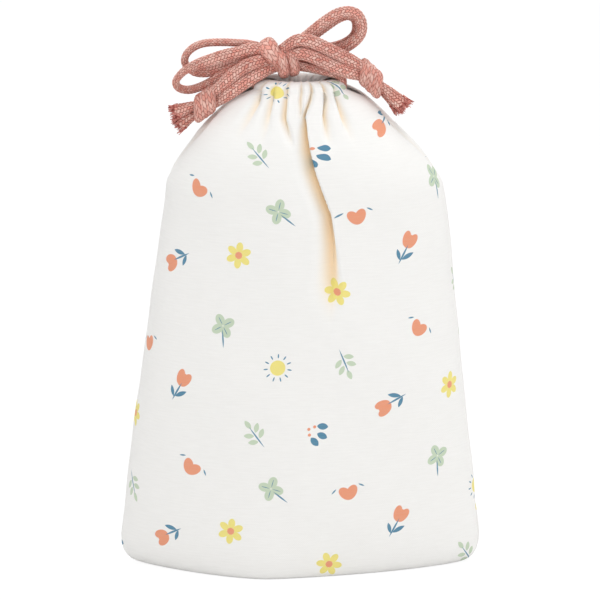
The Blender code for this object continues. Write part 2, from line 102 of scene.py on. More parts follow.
def closed_curve(half_width, half_depth, squareness, front_shift, lean=0.0):
    """Dense points once round a section from the right side seam, by way of the back."""
    turn = np.linspace(0.0, 2.0 * math.pi, section_samples + 1)
    power = 2.0 / squareness
    x = half_width * np.sign(np.cos(turn)) * np.abs(np.cos(turn)) ** power
    y = half_depth * np.sign(np.sin(turn)) * np.abs(np.sin(turn)) ** power
    x = x + front_shift * (y / half_depth) * np.abs(y / half_depth) + lean
    return np.column_stack((x, y))


def curve_length(curve):
    """Distance along a curve at each of its points."""
    steps = np.linalg.norm(np.diff(curve, axis=0), axis=1)
    return np.concatenate(([0.0], np.cumsum(steps)))


def unit(vectors):
    """The same directions at unit length."""
    return vectors / np.linalg.norm(vectors, axis=1)[:, None]


def along_curve(curve, fractions):
    """Points and outward directions at fractions of a closed curve's length."""
    way = curve_length(curve)
    way = way / way[-1]
    reach = 0.003
    stops = [np.mod(fractions + shift, 1.0) for shift in (0.0, -reach, reach)]
    here, behind, ahead = [
        np.column_stack([np.interp(stop, way, curve[:, k]) for k in (0, 1)]) for stop in stops]
    tangent = ahead - behind
    return here, unit(np.column_stack((tangent[:, 1], -tangent[:, 0])))


def corner_inset(height, width):
    """How far the cloth has turned in towards the base, as a quarter of an ellipse."""
    rise = max(0.0, 1.0 - height / corner_round[2])
    return width * (1.0 - math.sqrt(1.0 - rise * rise))


def body_section(height):
    """Half width, half depth, squareness, front shift and lean of the cloth below its channel."""
    wall = base_half_width + (shoulder_half_width - base_half_width) * height / shoulder_height
    half_width = wall - corner_inset(height, corner_round[0])
    bulge = belly_bulge * math.sin(math.pi * min(height / rim_height, 1.0))
    half_depth = base_half_depth + (shoulder_half_depth - base_half_depth) * height / shoulder_height
    half_depth += bulge - corner_inset(height, corner_round[1])
    if height > shoulder_height:
        climb = (height - shoulder_height) / (rim_height - shoulder_height)
        half_width = mouth_half_width + (half_width - mouth_half_width) * (1.0 - climb ** shoulder_roundness)
        half_depth = mouth_half_depth + (half_depth - mouth_half_depth) * (1.0 - climb ** dome_roundness)
    share = min(2.0 * height / shoulder_height, 1.0)
    squareness = base_squareness + (body_squareness - base_squareness) * share
    shift = front_corner_shift * max(0.0, 1.0 - height / front_corner_height)
    lean = body_lean * math.sin(math.pi * min(height / lean_height, 1.0) ** lean_crowding)
    return np.array((half_width, half_depth, squareness, shift, lean))


def cloth_section(height):
    """The section at any height up to where the cloth turns over the strings."""
    if height <= slit_foot:
        return body_section(height)
    step = 0.001
    below = body_section(slit_foot)
    slope = (below - body_section(slit_foot - step)) / step
    mouth = np.array((mouth_half_width, mouth_half_depth, ring_squareness, 0.0, 0.0))
    rise = height - slit_foot
    span = turn_start - slit_foot
    bend = (mouth - below - slope * span) / span ** 2
    return below + slope * rise + bend * rise ** 2


# Each valley between pleats runs down the front or the back through stations, from its top: X, Z,
# depth, reach to its left, reach to its right, and how far its edge laps over it (from the right if
# above nothing, from the left if below).
front_valleys = (
    ((-0.0165, 0.208, 0.0028, 0.003, 0.0022, 0), (-0.0185, 0.2, 0.0039, 0.0045, 0.0029, 0),
     (-0.0225, 0.193, 0.0021, 0.0067, 0.0038, 0), (-0.0275, 0.185, 0, 0.007, 0.005, 0)),
    ((-0.0112, 0.208, 0.0026, 0.0026, 0.002, 0.0002), (-0.0122, 0.201, 0.0039, 0.0038, 0.0022, 0.0006),
     (-0.0134, 0.1955, 0.0031, 0.0047, 0.0027, 0.0006), (-0.015, 0.189, 0.0013, 0.006, 0.0038, 0.0002),
     (-0.0172, 0.182, 0, 0.006, 0.0046, 0)),
    ((-0.0052, 0.208, 0.003, 0.0022, 0.0018, 0), (-0.0059, 0.201, 0.0044, 0.0029, 0.0018, 0.0006),
     (-0.0063, 0.1945, 0.0047, 0.0034, 0.002, 0.0009), (-0.0046, 0.1885, 0.0023, 0.0038, 0.0031, 0.0004),
     (-0.0024, 0.182, 0, 0.004, 0.004, 0)),
    ((0.0012, 0.208, 0.0024, 0.0018, 0.0016, 0), (0.0002, 0.2015, 0.0034, 0.002, 0.0018, 0),
     (0.0004, 0.196, 0.0023, 0.002, 0.002, 0), (0.0014, 0.1915, 0, 0.002, 0.002, 0)),
    ((0.006, 0.208, 0.0026, 0.0018, 0.0016, 0), (0.0046, 0.2015, 0.0047, 0.0027, 0.0016, 0.0006),
     (0.0024, 0.196, 0.0048, 0.0032, 0.0014, 0.0014), (0.0036, 0.1895, 0.0062, 0.006, 0.0014, 0.002),
     (0.0056, 0.182, 0.0076, 0.01, 0.0014, 0.0026), (0.008, 0.174, 0.0078, 0.0116, 0.0014, 0.003),
     (0.0116, 0.164, 0.0076, 0.0112, 0.0014, 0.003), (0.0142, 0.156, 0.0072, 0.0104, 0.0016, 0.0026),
     (0.0149, 0.143, 0.0062, 0.0108, 0.0022, 0.0018), (0.0146, 0.13, 0.0052, 0.0121, 0.0038, 0.0006),
     (0.0134, 0.118, 0.0018, 0.0123, 0.0056, 0), (0.0126, 0.108, 0, 0.011, 0.006, 0)),
    ((0.0104, 0.208, 0.0028, 0.0016, 0.0018, 0), (0.0109, 0.202, 0.0044, 0.0018, 0.0025, -0.0004),
     (0.0102, 0.1955, 0.0044, 0.0022, 0.0031, -0.0008), (0.0114, 0.189, 0.0023, 0.0034, 0.0043, -0.0002),
     (0.0128, 0.183, 0, 0.004, 0.005, 0)),
    ((0.0142, 0.208, 0.0028, 0.0014, 0.0022, 0), (0.0156, 0.201, 0.0044, 0.0016, 0.0038, -0.0008),
     (0.0176, 0.1955, 0.0039, 0.002, 0.0049, -0.0008), (0.0205, 0.1895, 0.0016, 0.0034, 0.0063, 0),
     (0.024, 0.183, 0, 0.004, 0.007, 0)),
)
back_valleys = (
    ((0.015, 0.208, 0.0028, 0.0022, 0.0022, 0), (0.0172, 0.2, 0.0044, 0.0038, 0.0029, 0.0006),
     (0.0215, 0.19, 0.0052, 0.0067, 0.0034, 0.001), (0.025, 0.176, 0.0044, 0.009, 0.0045, 0.0006),
     (0.027, 0.16, 0.0018, 0.0101, 0.0067, 0), (0.028, 0.146, 0, 0.009, 0.007, 0)),
    ((0.0098, 0.208, 0.0028, 0.002, 0.0018, 0), (0.0106, 0.2, 0.0042, 0.0029, 0.002, -0.0006),
     (0.0128, 0.192, 0.0026, 0.0045, 0.0034, -0.0004), (0.0152, 0.183, 0, 0.005, 0.004, 0)),
    ((0.0046, 0.208, 0.003, 0.002, 0.0018, 0), (0.0044, 0.2, 0.0047, 0.0027, 0.002, 0.0006),
     (0.0054, 0.192, 0.0034, 0.0038, 0.0029, 0.0004), (0.0062, 0.184, 0, 0.004, 0.004, 0)),
    ((-0.001, 0.208, 0.003, 0.002, 0.0018, 0), (-0.002, 0.2, 0.0052, 0.0029, 0.002, 0.0008),
     (-0.0034, 0.188, 0.0062, 0.005, 0.0022, 0.0018), (-0.0022, 0.17, 0.008, 0.008, 0.0024, 0.0022),
     (0.001, 0.148, 0.006, 0.0096, 0.0034, 0.0012), (0.0034, 0.128, 0.0034, 0.0123, 0.0056, 0.0002),
     (0.004, 0.112, 0, 0.011, 0.006, 0)),
    ((-0.0068, 0.208, 0.0028, 0.0018, 0.0018, 0), (-0.008, 0.2, 0.0044, 0.0022, 0.0027, -0.0006),
     (-0.0104, 0.19, 0.0029, 0.0034, 0.004, -0.0004), (-0.0128, 0.18, 0, 0.004, 0.005, 0)),
    ((-0.0122, 0.208, 0.0028, 0.0018, 0.002, 0), (-0.014, 0.2, 0.0047, 0.0025, 0.0034, -0.0006),
     (-0.0184, 0.19, 0.0055, 0.0034, 0.0063, -0.001), (-0.0222, 0.178, 0.0049, 0.0045, 0.0085, -0.0006),
     (-0.024, 0.164, 0.0021, 0.0067, 0.0101, 0), (-0.025, 0.15, 0, 0.007, 0.009, 0)),
    ((-0.0168, 0.208, 0.0026, 0.002, 0.0024, 0), (-0.02, 0.199, 0.0036, 0.0029, 0.004, 0),
     (-0.025, 0.191, 0.0016, 0.0045, 0.0067, 0), (-0.03, 0.183, 0, 0.005, 0.007, 0)),
)


wall_roundness = 0.6
lap_run_out = 2.5


def ease(value):
    """Nothing below zero, one above one, and a smooth rise between."""
    held = np.clip(value, 0.0, 1.0)
    return held * held * (3.0 - 2.0 * held)


def valley_wall(nearness):
    """A valley's wall: it leaves the cloth smoothly and meets its other wall at a sharp bottom."""
    held = np.clip(nearness, 0.0, 1.0)
    return held * held * (1.0 + wall_roundness - wall_roundness * held)


def pleated(height, curve, fractions):
    """How deep each point of a row lies in a valley, and how far it is lapped sideways."""
    way = curve_length(curve)
    girth = way[-1]
    half = section_samples // 2
    depth = np.zeros(len(fractions))
    slide = np.zeros(len(fractions))
    for valleys, front in ((front_valleys, True), (back_valleys, False)):
        for stations in valleys:
            table = np.array(stations)[::-1]
            if height < table[0, 1]:
                continue
            x, deep, left, right, lap = [np.interp(height, table[:, 1], column)
                                         for column in np.delete(table, 1, axis=1).T]
            if front:
                place = np.interp(x, curve[half:, 0], way[half:])
            else:
                place = np.interp(-x, -curve[:half + 1, 0], way[:half + 1])
                left, right, lap = right, left, -lap
            offset = (np.mod(fractions - place / girth + 0.5, 1.0) - 0.5) * girth
            reach = np.where(offset < 0.0, left, right)
            depth = np.maximum(depth, deep * valley_wall(1.0 - np.abs(offset) / reach))
            edge = right if lap > 0.0 else left
            away = offset if lap > 0.0 else -offset
            slide -= lap * ease(away / edge) * (1.0 - ease((away - edge) / (lap_run_out * edge)))
    return depth, slide


# The seams and the slits, as shares of the way round or in metres.
slit_share = 5 / 96
slit_foot_share = 0.009
slit_rise = 0.030
slit_head = rim_height - 0.004
seam_heights = (0.150, 0.166, 0.178, 0.188, 0.194, slit_foot)
seam_shifts = (0.0, 0.004, 0.018, 0.034, 0.026, 0.0)
seam_groove = 0.0012
seam_half_width = 0.0010
seam_step = 0.0016
seam_edge = 0.0006
seam_reach = 0.008
seam_rise = 0.040


def seam_depth(height, fractions, girth):
    """How deep the cloth lies at a side seam. The seams lean to the front below the mouth, and the back
    panel is drawn in under the front panel's edge."""
    shift = np.interp(height, seam_heights, seam_shifts)
    left = np.abs(fractions - 0.5) < 0.25
    to_back = np.where(left, 0.5 + shift - fractions, np.mod(fractions + shift + 0.5, 1.0) - 0.5) * girth
    drawn_in = np.where(to_back > 0.0, np.exp(-np.maximum(to_back, 0.0) / seam_reach), 0.0)
    fade = ease((height - corner_round[2]) / seam_rise)
    step = seam_step * fade * drawn_in * ease(to_back / seam_edge)
    return step + seam_groove * np.exp(-(to_back / seam_half_width) ** 2)


wave_height = 0.0009
wave_rise = 0.030
wave_fall = 0.020
# Each wave is a product of two: its strength, then for each how it runs with X and Z, and its start.
waves = (
    (0.55, (74, 31, 1.3), (17, 43, 0.6)),
    (0.35, (133, -62, 2.1), (-58, 27, 2.2)),
    (0.20, (210, 118, 0.0), (-41, 96, 1.1)),
)


def soft_waves(points, height):
    """Long shallow waves that sewn cotton keeps after it is washed and folded."""
    x, side = points[:, 0], np.sign(points[:, 1])
    fade = ease(height / wave_rise) * ease((rim_height - height) / wave_fall)
    wave = 0.0
    for strength, (x1, z1, start1), (x2, z2, start2) in waves:
        wave += (strength * np.sin(x * x1 + height * z1 + side * start1)
                 * np.sin(height * z2 + x * x2 + start2))
    return wave_height * fade * wave


def slit_half_way(height):
    """Half the slit's share of the way round at a height: a narrow foot that opens towards the rim."""
    return np.interp(height, (slit_foot, slit_head), (slit_foot_share, slit_share))


def opened_for_slits(fractions, height):
    """Column places moved so that each slit's two edges lie where the slit ends at this height."""
    if height < slit_foot:
        half_way = slit_foot_share + (slit_share - slit_foot_share) * ease((slit_foot - height) / slit_rise)
    else:
        half_way = slit_half_way(height)
    offset = np.mod(fractions + 0.25, 0.5) - 0.25
    near = np.abs(offset) / slit_share * half_way
    far = half_way + (np.abs(offset) - slit_share) / (0.25 - slit_share) * (0.25 - half_way)
    moved = np.where(np.abs(offset) < slit_share, near, far)
    return fractions - offset + np.sign(offset) * moved


# Where columns lie closer together: the middle, the reach and the strength of each crowd.
crowds = ((0.775, 0.055, 1.3), (0.24, 0.08, 0.5))
crowd_samples = 4001


def column_places():
    """Columns round the pouch, closer together across the pleats, with one on each slit's edge."""
    dense = np.linspace(0.0, 1.0, crowd_samples)
    crowding = 1.0
    for middle, reach, strength in crowds:
        crowding = crowding + strength * np.exp(-((dense - middle) / reach) ** 2)
    way = np.concatenate(([0.0], np.cumsum((crowding[1:] + crowding[:-1]) / 2)))
    places = np.interp(np.linspace(0.0, way[-1], cloth_columns, endpoint=False), way, dense)
    for edge in (slit_share, 0.5 - slit_share, 0.5 + slit_share, 1.0 - slit_share, 0.5):
        places[np.argmin(np.abs(places - edge))] = edge
    return places


places = column_places()


def wall_row(height):
    """One row of the outer cloth: the plain section with its pleats, seams and waves."""
    curve = closed_curve(*cloth_section(height))
    girth = curve_length(curve)[-1]
    fractions = opened_for_slits(places, height)
    points, outward = along_curve(curve, fractions)
    depth, slide = pleated(height, curve, fractions)
    tangent = np.column_stack((-outward[:, 1], outward[:, 0]))
    groove = seam_depth(height, fractions, girth)
    pressed = points + outward * (soft_waves(points, height) - depth - groove)[:, None]
    pressed = pressed + tangent * slide[:, None]
    return np.column_stack((pressed, np.full(cloth_columns, height))), depth + groove, fractions * girth


hem_ripple = 0.0006
hem_ripples = 13.0


def ring_row(offset, height):
    """One row of the hem inside the mouth, which follows the drawn-up strings."""
    curve = closed_curve(ring_half_width + offset, ring_half_depth + offset, ring_squareness, 0.0)
    fractions = opened_for_slits(places, height)
    points, outward = along_curve(curve, fractions)
    ripple = hem_ripple * np.sin(2.0 * math.pi * hem_ripples * fractions) ** 2
    points = points - outward * ripple[:, None]
    girth = curve_length(curve)[-1]
    return np.column_stack((points, np.full(cloth_columns, height))), ripple, fractions * girth


# The rows climb from the base's rounded corner over the belly, the fold and the pleats to the turn over
# the strings, go down inside the channel, and end at the hem's stitch line.
belly_top = 0.100
pleats_start = shoulder_height - 0.012
corner_heights = corner_round[2] * np.array((0.0, 0.03, 0.10, 0.22, 0.40, 0.65))
wall_heights = np.concatenate((
    np.linspace(corner_round[2], belly_top, 22, endpoint=False),
    np.linspace(belly_top, pleats_start, 24, endpoint=False),
    np.linspace(pleats_start, slit_foot, 32, endpoint=False),
    np.linspace(slit_foot, turn_start, 7),
))
cloth_rows = [wall_row(height) for height in (*corner_heights, *wall_heights)]
turned_in = ring_row(-channel_pocket, turn_start)
outer_edge = cloth_rows[-1]
for angle in np.radians(range(20, 180, 20)):
    middle = (outer_edge[0] + turned_in[0]) / 2
    row = middle + (outer_edge[0] - middle) * math.cos(angle)
    row[:, 2] = turn_start + channel_pocket * math.sin(angle)
    cloth_rows.append((row, outer_edge[1] * (1.0 + math.cos(angle)) / 2, outer_edge[2]))
cloth_rows.append(turned_in)
for height in np.linspace(turn_start, channel_neck, 5)[1:]:
    cloth_rows.append(ring_row(-channel_pocket, height))
hem_edge, hem_depth, hem_way = wall_row(stitch_line)
hem_curve = closed_curve(*cloth_section(stitch_line))
hem_outward = along_curve(hem_curve, opened_for_slits(places, stitch_line))[1]
hem_edge[:, :2] -= hem_outward * hem_inset
neck_row = cloth_rows[-1][0]
for share in (0.35, 0.7, 1.0):
    cloth_rows.append((neck_row + (hem_edge - neck_row) * share, hem_depth, hem_way))


measured_place = 0.62
back_map_lift = 0.043
base_map_shift = (0.4, -0.1)
same_height = 1e-6


def cloth_height_along():
    """How far each row lies up the cloth, measured along the front, to the left of its fold."""
    middle = np.argmin(np.abs(places - measured_place))
    track = np.array([row[0][middle] for row in cloth_rows])
    return curve_length(track[:, 1:])


def add_piece(name, vertices, faces):
    """A smooth mesh as a piece of the scene."""
    mesh = bpy.data.meshes.new(name)
    mesh.from_pydata(vertices, [], faces)
    mesh.shade_smooth()
    piece = bpy.data.objects.new(name, mesh)
    bpy.context.scene.collection.objects.link(piece)
    return piece


def add_map(mesh, name, loops):
    """A map on a mesh, from a place for each corner of its faces."""
    mesh.uv_layers.new(name=name).data.foreach_set("uv", np.array(loops, np.float32).ravel())


def add_cloth():
    """The cloth with its two slits, its print's map and the depth of its pleats."""
    levels = cloth_height_along()
    heights = np.array([row[0][0, 2] for row in cloth_rows])
    slit_from = np.flatnonzero(heights >= slit_foot - same_height)[0]
    slit_to = np.flatnonzero(np.abs(heights - channel_neck) < same_height)[-1]
    offset = np.abs(np.mod((places + np.append(places[1:], 1.0)) / 2 + 0.25, 0.5) - 0.25)
    faces = []
    corners = []
    for level in range(len(cloth_rows) - 1):
        for column in range(cloth_columns):
            if slit_from <= level < slit_to and offset[column] < slit_share:
                continue
            after = (column + 1) % cloth_columns
            faces.append(tuple(r * cloth_columns + c for r, c in
                               ((level, column), (level, after), (level + 1, after), (level + 1, column))))
            corners.append((level, column))
    base = tuple(reversed(range(cloth_columns)))
    cloth = add_piece("pouch_cloth", np.concatenate([row[0] for row in cloth_rows]).tolist(), [base, *faces])
    mesh = cloth.data
    loops = [tuple(cloth_rows[0][0][column][:2] + base_map_shift) for column in base]
    for level, column in corners:
        after = column + 1
        front = places[column] >= 0.5
        for row, place in ((level, column), (level, after), (level + 1, after), (level + 1, column)):
            way = cloth_rows[row][2]
            girth = way[1] / opened_for_slits(places[1:2], cloth_rows[row][0][0, 2])[0]
            here = girth if place == cloth_columns else way[place]
            middle, lift = (0.75, 0.0) if front else (0.25, back_map_lift)
            loops.append((here - girth * middle, levels[row] + lift))
    add_map(mesh, "cloth", loops)
    # The depth of the pleats, seams and hem ripples, which the cotton turns into painted shade.
    hollow = mesh.attributes.new("hollow", "FLOAT", "POINT")
    hollow.data.foreach_set("value", np.concatenate([row[1] for row in cloth_rows]).astype(np.float32))
    loose = bmesh.new()
    loose.from_mesh(mesh)
    bmesh.ops.delete(loose, geom=[v for v in loose.verts if not v.link_faces], context="VERTS")
    loose.to_mesh(mesh)
    loose.free()
    shell = cloth.modifiers.new("thickness", "SOLIDIFY")
    shell.thickness = cloth_thickness
    shell.offset = -1.0
    shell.use_even_offset = False
    shell.material_offset = 1
    return cloth


pouch_cloth = add_cloth()
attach(pouch_cloth, "root")
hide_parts("pouch_body")


# The cloth's printed face and its plain reverse.
# Fine plain-weave cotton, close to white, with small flowers, sprigs and hearts screen-printed in coral,
# yellow, sage and slate blue.
weave_pitch = 0.42


def link(tree, value, socket):
    """Joins an output to a socket, or sets the socket to a plain number or colour."""
    if isinstance(value, bpy.types.NodeSocket):
        tree.links.new(value, socket)
    else:
        socket.default_value = value


def sum_node(tree, operation, *values, clamp=False):
    node = tree.nodes.new("ShaderNodeMath")
    node.operation = operation
    node.use_clamp = clamp
    for value, socket in zip(values, node.inputs):
        link(tree, value, socket)
    return node.outputs[0]


def split_vector(tree, vector):
    """A vector's X and Y."""
    node = tree.nodes.new("ShaderNodeSeparateXYZ")
    link(tree, vector, node.inputs[0])
    return node.outputs[0], node.outputs[1]


def joined_vector(tree, x, y):
    node = tree.nodes.new("ShaderNodeCombineXYZ")
    link(tree, x, node.inputs[0])
    link(tree, y, node.inputs[1])
    return node.outputs[0]


def placed_map(tree, vector, at, turn, scale=(1.0, 1.0)):
    """A map moved to a place, turned in degrees and scaled."""
    node = tree.nodes.new("ShaderNodeMapping")
    node.vector_type = "TEXTURE"
    node.inputs["Location"].default_value = (*at, 0.0)
    node.inputs["Rotation"].default_value = (0.0, 0.0, math.radians(turn))
    node.inputs["Scale"].default_value = (*scale, 1.0)
    link(tree, vector, node.inputs["Vector"])
    return node.outputs[0]


def distance_node(tree, vector, centre=(0.0, 0.0, 0.0)):
    node = tree.nodes.new("ShaderNodeVectorMath")
    node.operation = "DISTANCE"
    link(tree, vector, node.inputs[0])
    node.inputs[1].default_value = centre
    return node.outputs["Value"]


def noise_node(tree, vector, scale, detail=3.0, roughness=0.6):
    node = tree.nodes.new("ShaderNodeTexNoise")
    node.inputs["Detail"].default_value = detail
    node.inputs["Roughness"].default_value = roughness
    link(tree, vector, node.inputs["Vector"])
    link(tree, scale, node.inputs["Scale"])
    return node.outputs["Fac"]


def scaled_vector(tree, vector, scale):
    node = tree.nodes.new("ShaderNodeVectorMath")
    node.operation = "MULTIPLY"
    link(tree, vector, node.inputs[0])
    node.inputs[1].default_value = scale
    return node.outputs[0]


def mixed_colour(tree, share, first, second):
    node = tree.nodes.new("ShaderNodeMix")
    node.data_type = "RGBA"
    link(tree, share, node.inputs[0])
    link(tree, first, node.inputs[6])
    link(tree, second, node.inputs[7])
    return node.outputs[2]


def smooth_step(tree, value, low, high, top=1.0):
    """A smooth rise from nothing at the low value to the top at the high one."""
    node = tree.nodes.new("ShaderNodeMapRange")
    node.interpolation_type = "SMOOTHSTEP"
    for number, socket in zip((value, low, high, 0.0, top), node.inputs):
        link(tree, number, socket)
    return node.outputs[0]


def new_group(name, *outputs):
    """An empty node group, with the map that it takes in and the values that it puts out."""
    group = bpy.data.node_groups.new(name, "ShaderNodeTree")
    group.interface.new_socket("Map", in_out="INPUT", socket_type="NodeSocketVector")
    for label in outputs:
        group.interface.new_socket(label, in_out="OUTPUT", socket_type="NodeSocketFloat")
    vector = group.nodes.new("NodeGroupInput").outputs["Map"]
    return group, vector, group.nodes.new("NodeGroupOutput").inputs


def place_group(tree, group, vector):
    node = tree.nodes.new("ShaderNodeGroup")
    node.node_tree = group
    link(tree, vector, node.inputs["Map"])
    return node.outputs


def new_material(name, roughness, sheen):
    material = bpy.data.materials.new(name)
    material.use_nodes = True
    shader = material.node_tree.nodes["Principled BSDF"]
    shader.inputs["Roughness"].default_value = roughness
    shader.inputs["Specular IOR Level"].default_value = 0.25
    shader.inputs["Sheen Weight"].default_value = sheen
    return material, material.node_tree, shader


def named_map(tree, name):
    node = tree.nodes.new("ShaderNodeUVMap")
    node.uv_map = name
    return node.outputs[0]


def add_bump(tree, shader, height, distance, strength):
    node = tree.nodes.new("ShaderNodeBump")
    node.inputs["Distance"].default_value = distance
    node.inputs["Strength"].default_value = strength
    link(tree, height, node.inputs["Height"])
    tree.links.new(node.outputs[0], shader.inputs["Normal"])


def make_weave_group():
    """Crossing threads and slubs from a map in millimetres."""
    group, vector, leave = new_group("weave", "Height", "Slub")
    turns = [sum_node(group, "DIVIDE", way, weave_pitch) for way in split_vector(group, vector)]
    warp, weft = [sum_node(group, "SINE", sum_node(group, "MULTIPLY", turn, math.pi)) for turn in turns]
    crossing = sum_node(group, "MULTIPLY", warp, weft)
    threads = sum_node(group, "ABSOLUTE", weft)
    height = sum_node(group, "MULTIPLY_ADD", crossing, 0.35, threads)
    slub = noise_node(group, scaled_vector(group, vector, (0.12, 1.6, 1.0)), 1.0)
    link(group, sum_node(group, "MULTIPLY_ADD", slub, 0.9, height), leave["Height"])
    link(group, slub, leave["Slub"])
    return group


weave_group = make_weave_group()


def oval(tree, vector, at, radii, turn=0.0, soft=0.05):
    """A mask of an oval, in millimetres."""
    away = distance_node(tree, placed_map(tree, vector, at, turn, radii))
    return smooth_step(tree, away, 1.0 + soft, 1.0 - soft)


def leaf(tree, vector, at, size, turn):
    """A mask of a pointed leaf: where two circles overlap."""
    length, width = size
    radius = (length * length + width * width) / (4.0 * width)
    soft = 0.06
    local = placed_map(tree, vector, at, turn)
    ways = [distance_node(tree, local, (0.0, side * (radius - width / 2), 0.0)) for side in (-1.0, 1.0)]
    return smooth_step(tree, sum_node(tree, "MAXIMUM", *ways), radius + soft, radius - soft)


def petals(tree, vector, count, distance, radii):
    """A mask of equal ovals round a centre."""
    x, y = split_vector(tree, vector)
    turn = sum_node(tree, "ARCTAN2", y, x)
    wedge = 2.0 * math.pi / count
    turn = sum_node(tree, "SUBTRACT", sum_node(tree, "FLOORED_MODULO", turn, wedge), wedge / 2)
    away = distance_node(tree, vector)
    folded = [sum_node(tree, "MULTIPLY", away, sum_node(tree, part, turn)) for part in ("COSINE", "SINE")]
    return oval(tree, joined_vector(tree, *folded), (distance, 0.0), radii)


def either(tree, *masks):
    total = masks[0]
    for mask in masks[1:]:
        total = sum_node(tree, "MAXIMUM", total, mask)
    return total


def make_motif(name, draw):
    """A printed motif as a node group with two masks: its main shape, and its fine parts."""
    group, vector, leave = new_group(name, "Shape", "Line")
    shape, line = draw(group, vector)
    link(group, shape, leave["Shape"])
    link(group, line, leave["Line"])
    return group


def draw_daisy(tree, v):
    return petals(tree, v, 6, 3.0, (2.0, 1.35)), oval(tree, v, (0.0, 0.0), (1.35, 1.35), soft=0.1)


def draw_tulip(tree, v):
    cup = [oval(tree, v, at, radii, turn) for at, radii, turn in (
        ((-1.3, 2.2), (1.7, 3.0), 14), ((1.3, 2.2), (1.7, 3.0), -14), ((0.0, 1.6), (2.2, 2.6), 0))]
    green = [leaf(tree, v, at, size, turn) for at, size, turn in (
        ((0.2, -3.6), (8.0, 0.75), 88), ((2.1, -3.4), (5.4, 1.7), 52), ((-1.6, -4.4), (4.4, 1.5), 132))]
    return either(tree, *cup), either(tree, *green)


def draw_sprig(tree, v):
    leaves = [leaf(tree, v, at, (3.9, 1.9), turn) for at, turn in (
        ((-2.2, -1.6), 150), ((2.3, -0.6), 34), ((-2.1, 1.3), 142), ((2.1, 2.2), 42), ((0.1, 5.0), 92))]
    return either(tree, *leaves), leaf(tree, v, (0.0, -0.8), (10.0, 0.55), 90)


def draw_heart(tree, v):
    halves = [oval(tree, v, (side * 1.15, 0.3), (2.0, 3.1), side * -38) for side in (-1, 1)]
    dashes = [leaf(tree, v, (side * 5.4, 2.2), (2.6, 0.6), side * -35) for side in (-1, 1)]
    return either(tree, *halves), either(tree, *dashes)


def draw_sun(tree, v):
    return oval(tree, v, (0.0, 0.0), (2.9, 2.9)), petals(tree, v, 11, 4.5, (0.85, 0.26))


def draw_clover(tree, v):
    stem = leaf(tree, v, (1.5, -4.6), (7.0, 0.6), 112)
    return petals(tree, v, 4, 2.5, (2.3, 1.75)), either(tree, stem, petals(tree, v, 4, 2.2, (1.5, 0.14)))


def draw_drops(tree, v):
    drops = [leaf(tree, v, at, (4.2, 2.5), turn) for at, turn in (
        ((-3.0, 0.6), 70), ((0.3, -0.8), 92), ((3.5, 0.8), 112))]
    dots = [oval(tree, v, at, (0.6, 0.6), soft=0.15) for at in ((-1.6, 3.6), (2.0, 3.4), (0.2, 4.9))]
    return either(tree, *drops), either(tree, *dots)


motifs = {name: make_motif(name, draw) for name, draw in (
    ("daisy", draw_daisy), ("tulip", draw_tulip), ("sprig", draw_sprig), ("heart", draw_heart),
    ("sun", draw_sun), ("clover", draw_clover), ("drops", draw_drops))}

print_coral = (0.820, 0.325, 0.190, 1.0)
print_yellow = (0.870, 0.760, 0.230, 1.0)
print_sage = (0.560, 0.660, 0.500, 1.0)
print_blue = (0.085, 0.245, 0.370, 1.0)
repeat_width = 96.0
repeat_height = 118.0
motif_scale = 1.12
print_repeat = (
    ("daisy", 14.0, 7.0, 20, print_yellow, print_coral),
    ("tulip", 44.0, 25.0, -28, print_coral, print_blue),
    ("sprig", 78.0, 5.0, 38, print_sage, print_blue),
    ("heart", 22.0, 38.0, 12, print_coral, print_blue),
    ("clover", 62.0, 51.0, -16, print_sage, print_blue),
    ("sun", 86.0, 34.0, 8, print_yellow, print_blue),
    ("drops", 9.0, 64.0, 62, print_blue, print_coral),
    ("tulip", 38.0, 76.0, 118, print_coral, print_blue),
    ("daisy", 68.0, 81.0, -8, print_yellow, print_coral),
    ("sprig", 18.0, 95.0, 205, print_sage, print_blue),
    ("heart", 50.0, 107.0, -34, print_coral, print_blue),
    ("clover", 85.0, 100.0, 30, print_sage, print_blue),
)
cloth_colour = (0.900, 0.892, 0.872, 1.0)
# The plain reverse is paler than the printed ground: painted light on the shaded inside faces of the cloth.
cloth_reverse_painted_light_colour = (0.985, 0.980, 0.965, 1.0)
# Painted shade: the warm colour that the cloth takes in its pleats and seams.
cloth_painted_pleat_shade_colour = (1.000, 0.800, 0.550, 1.0)
slub_colour = (0.62, 0.60, 0.56, 1.0)


def repeated_map(tree, vector):
    """The cloth's map in millimetres, wrapped into one repeat of the print, with every second column
    of repeats set half a repeat higher."""
    along, up = split_vector(tree, vector)
    column = sum_node(tree, "FLOOR", sum_node(tree, "DIVIDE", along, repeat_width))
    up = sum_node(tree, "MULTIPLY_ADD", column, repeat_height / 2, up)
    return joined_vector(tree, sum_node(tree, "FLOORED_MODULO", along, repeat_width),
                         sum_node(tree, "FLOORED_MODULO", up, repeat_height))


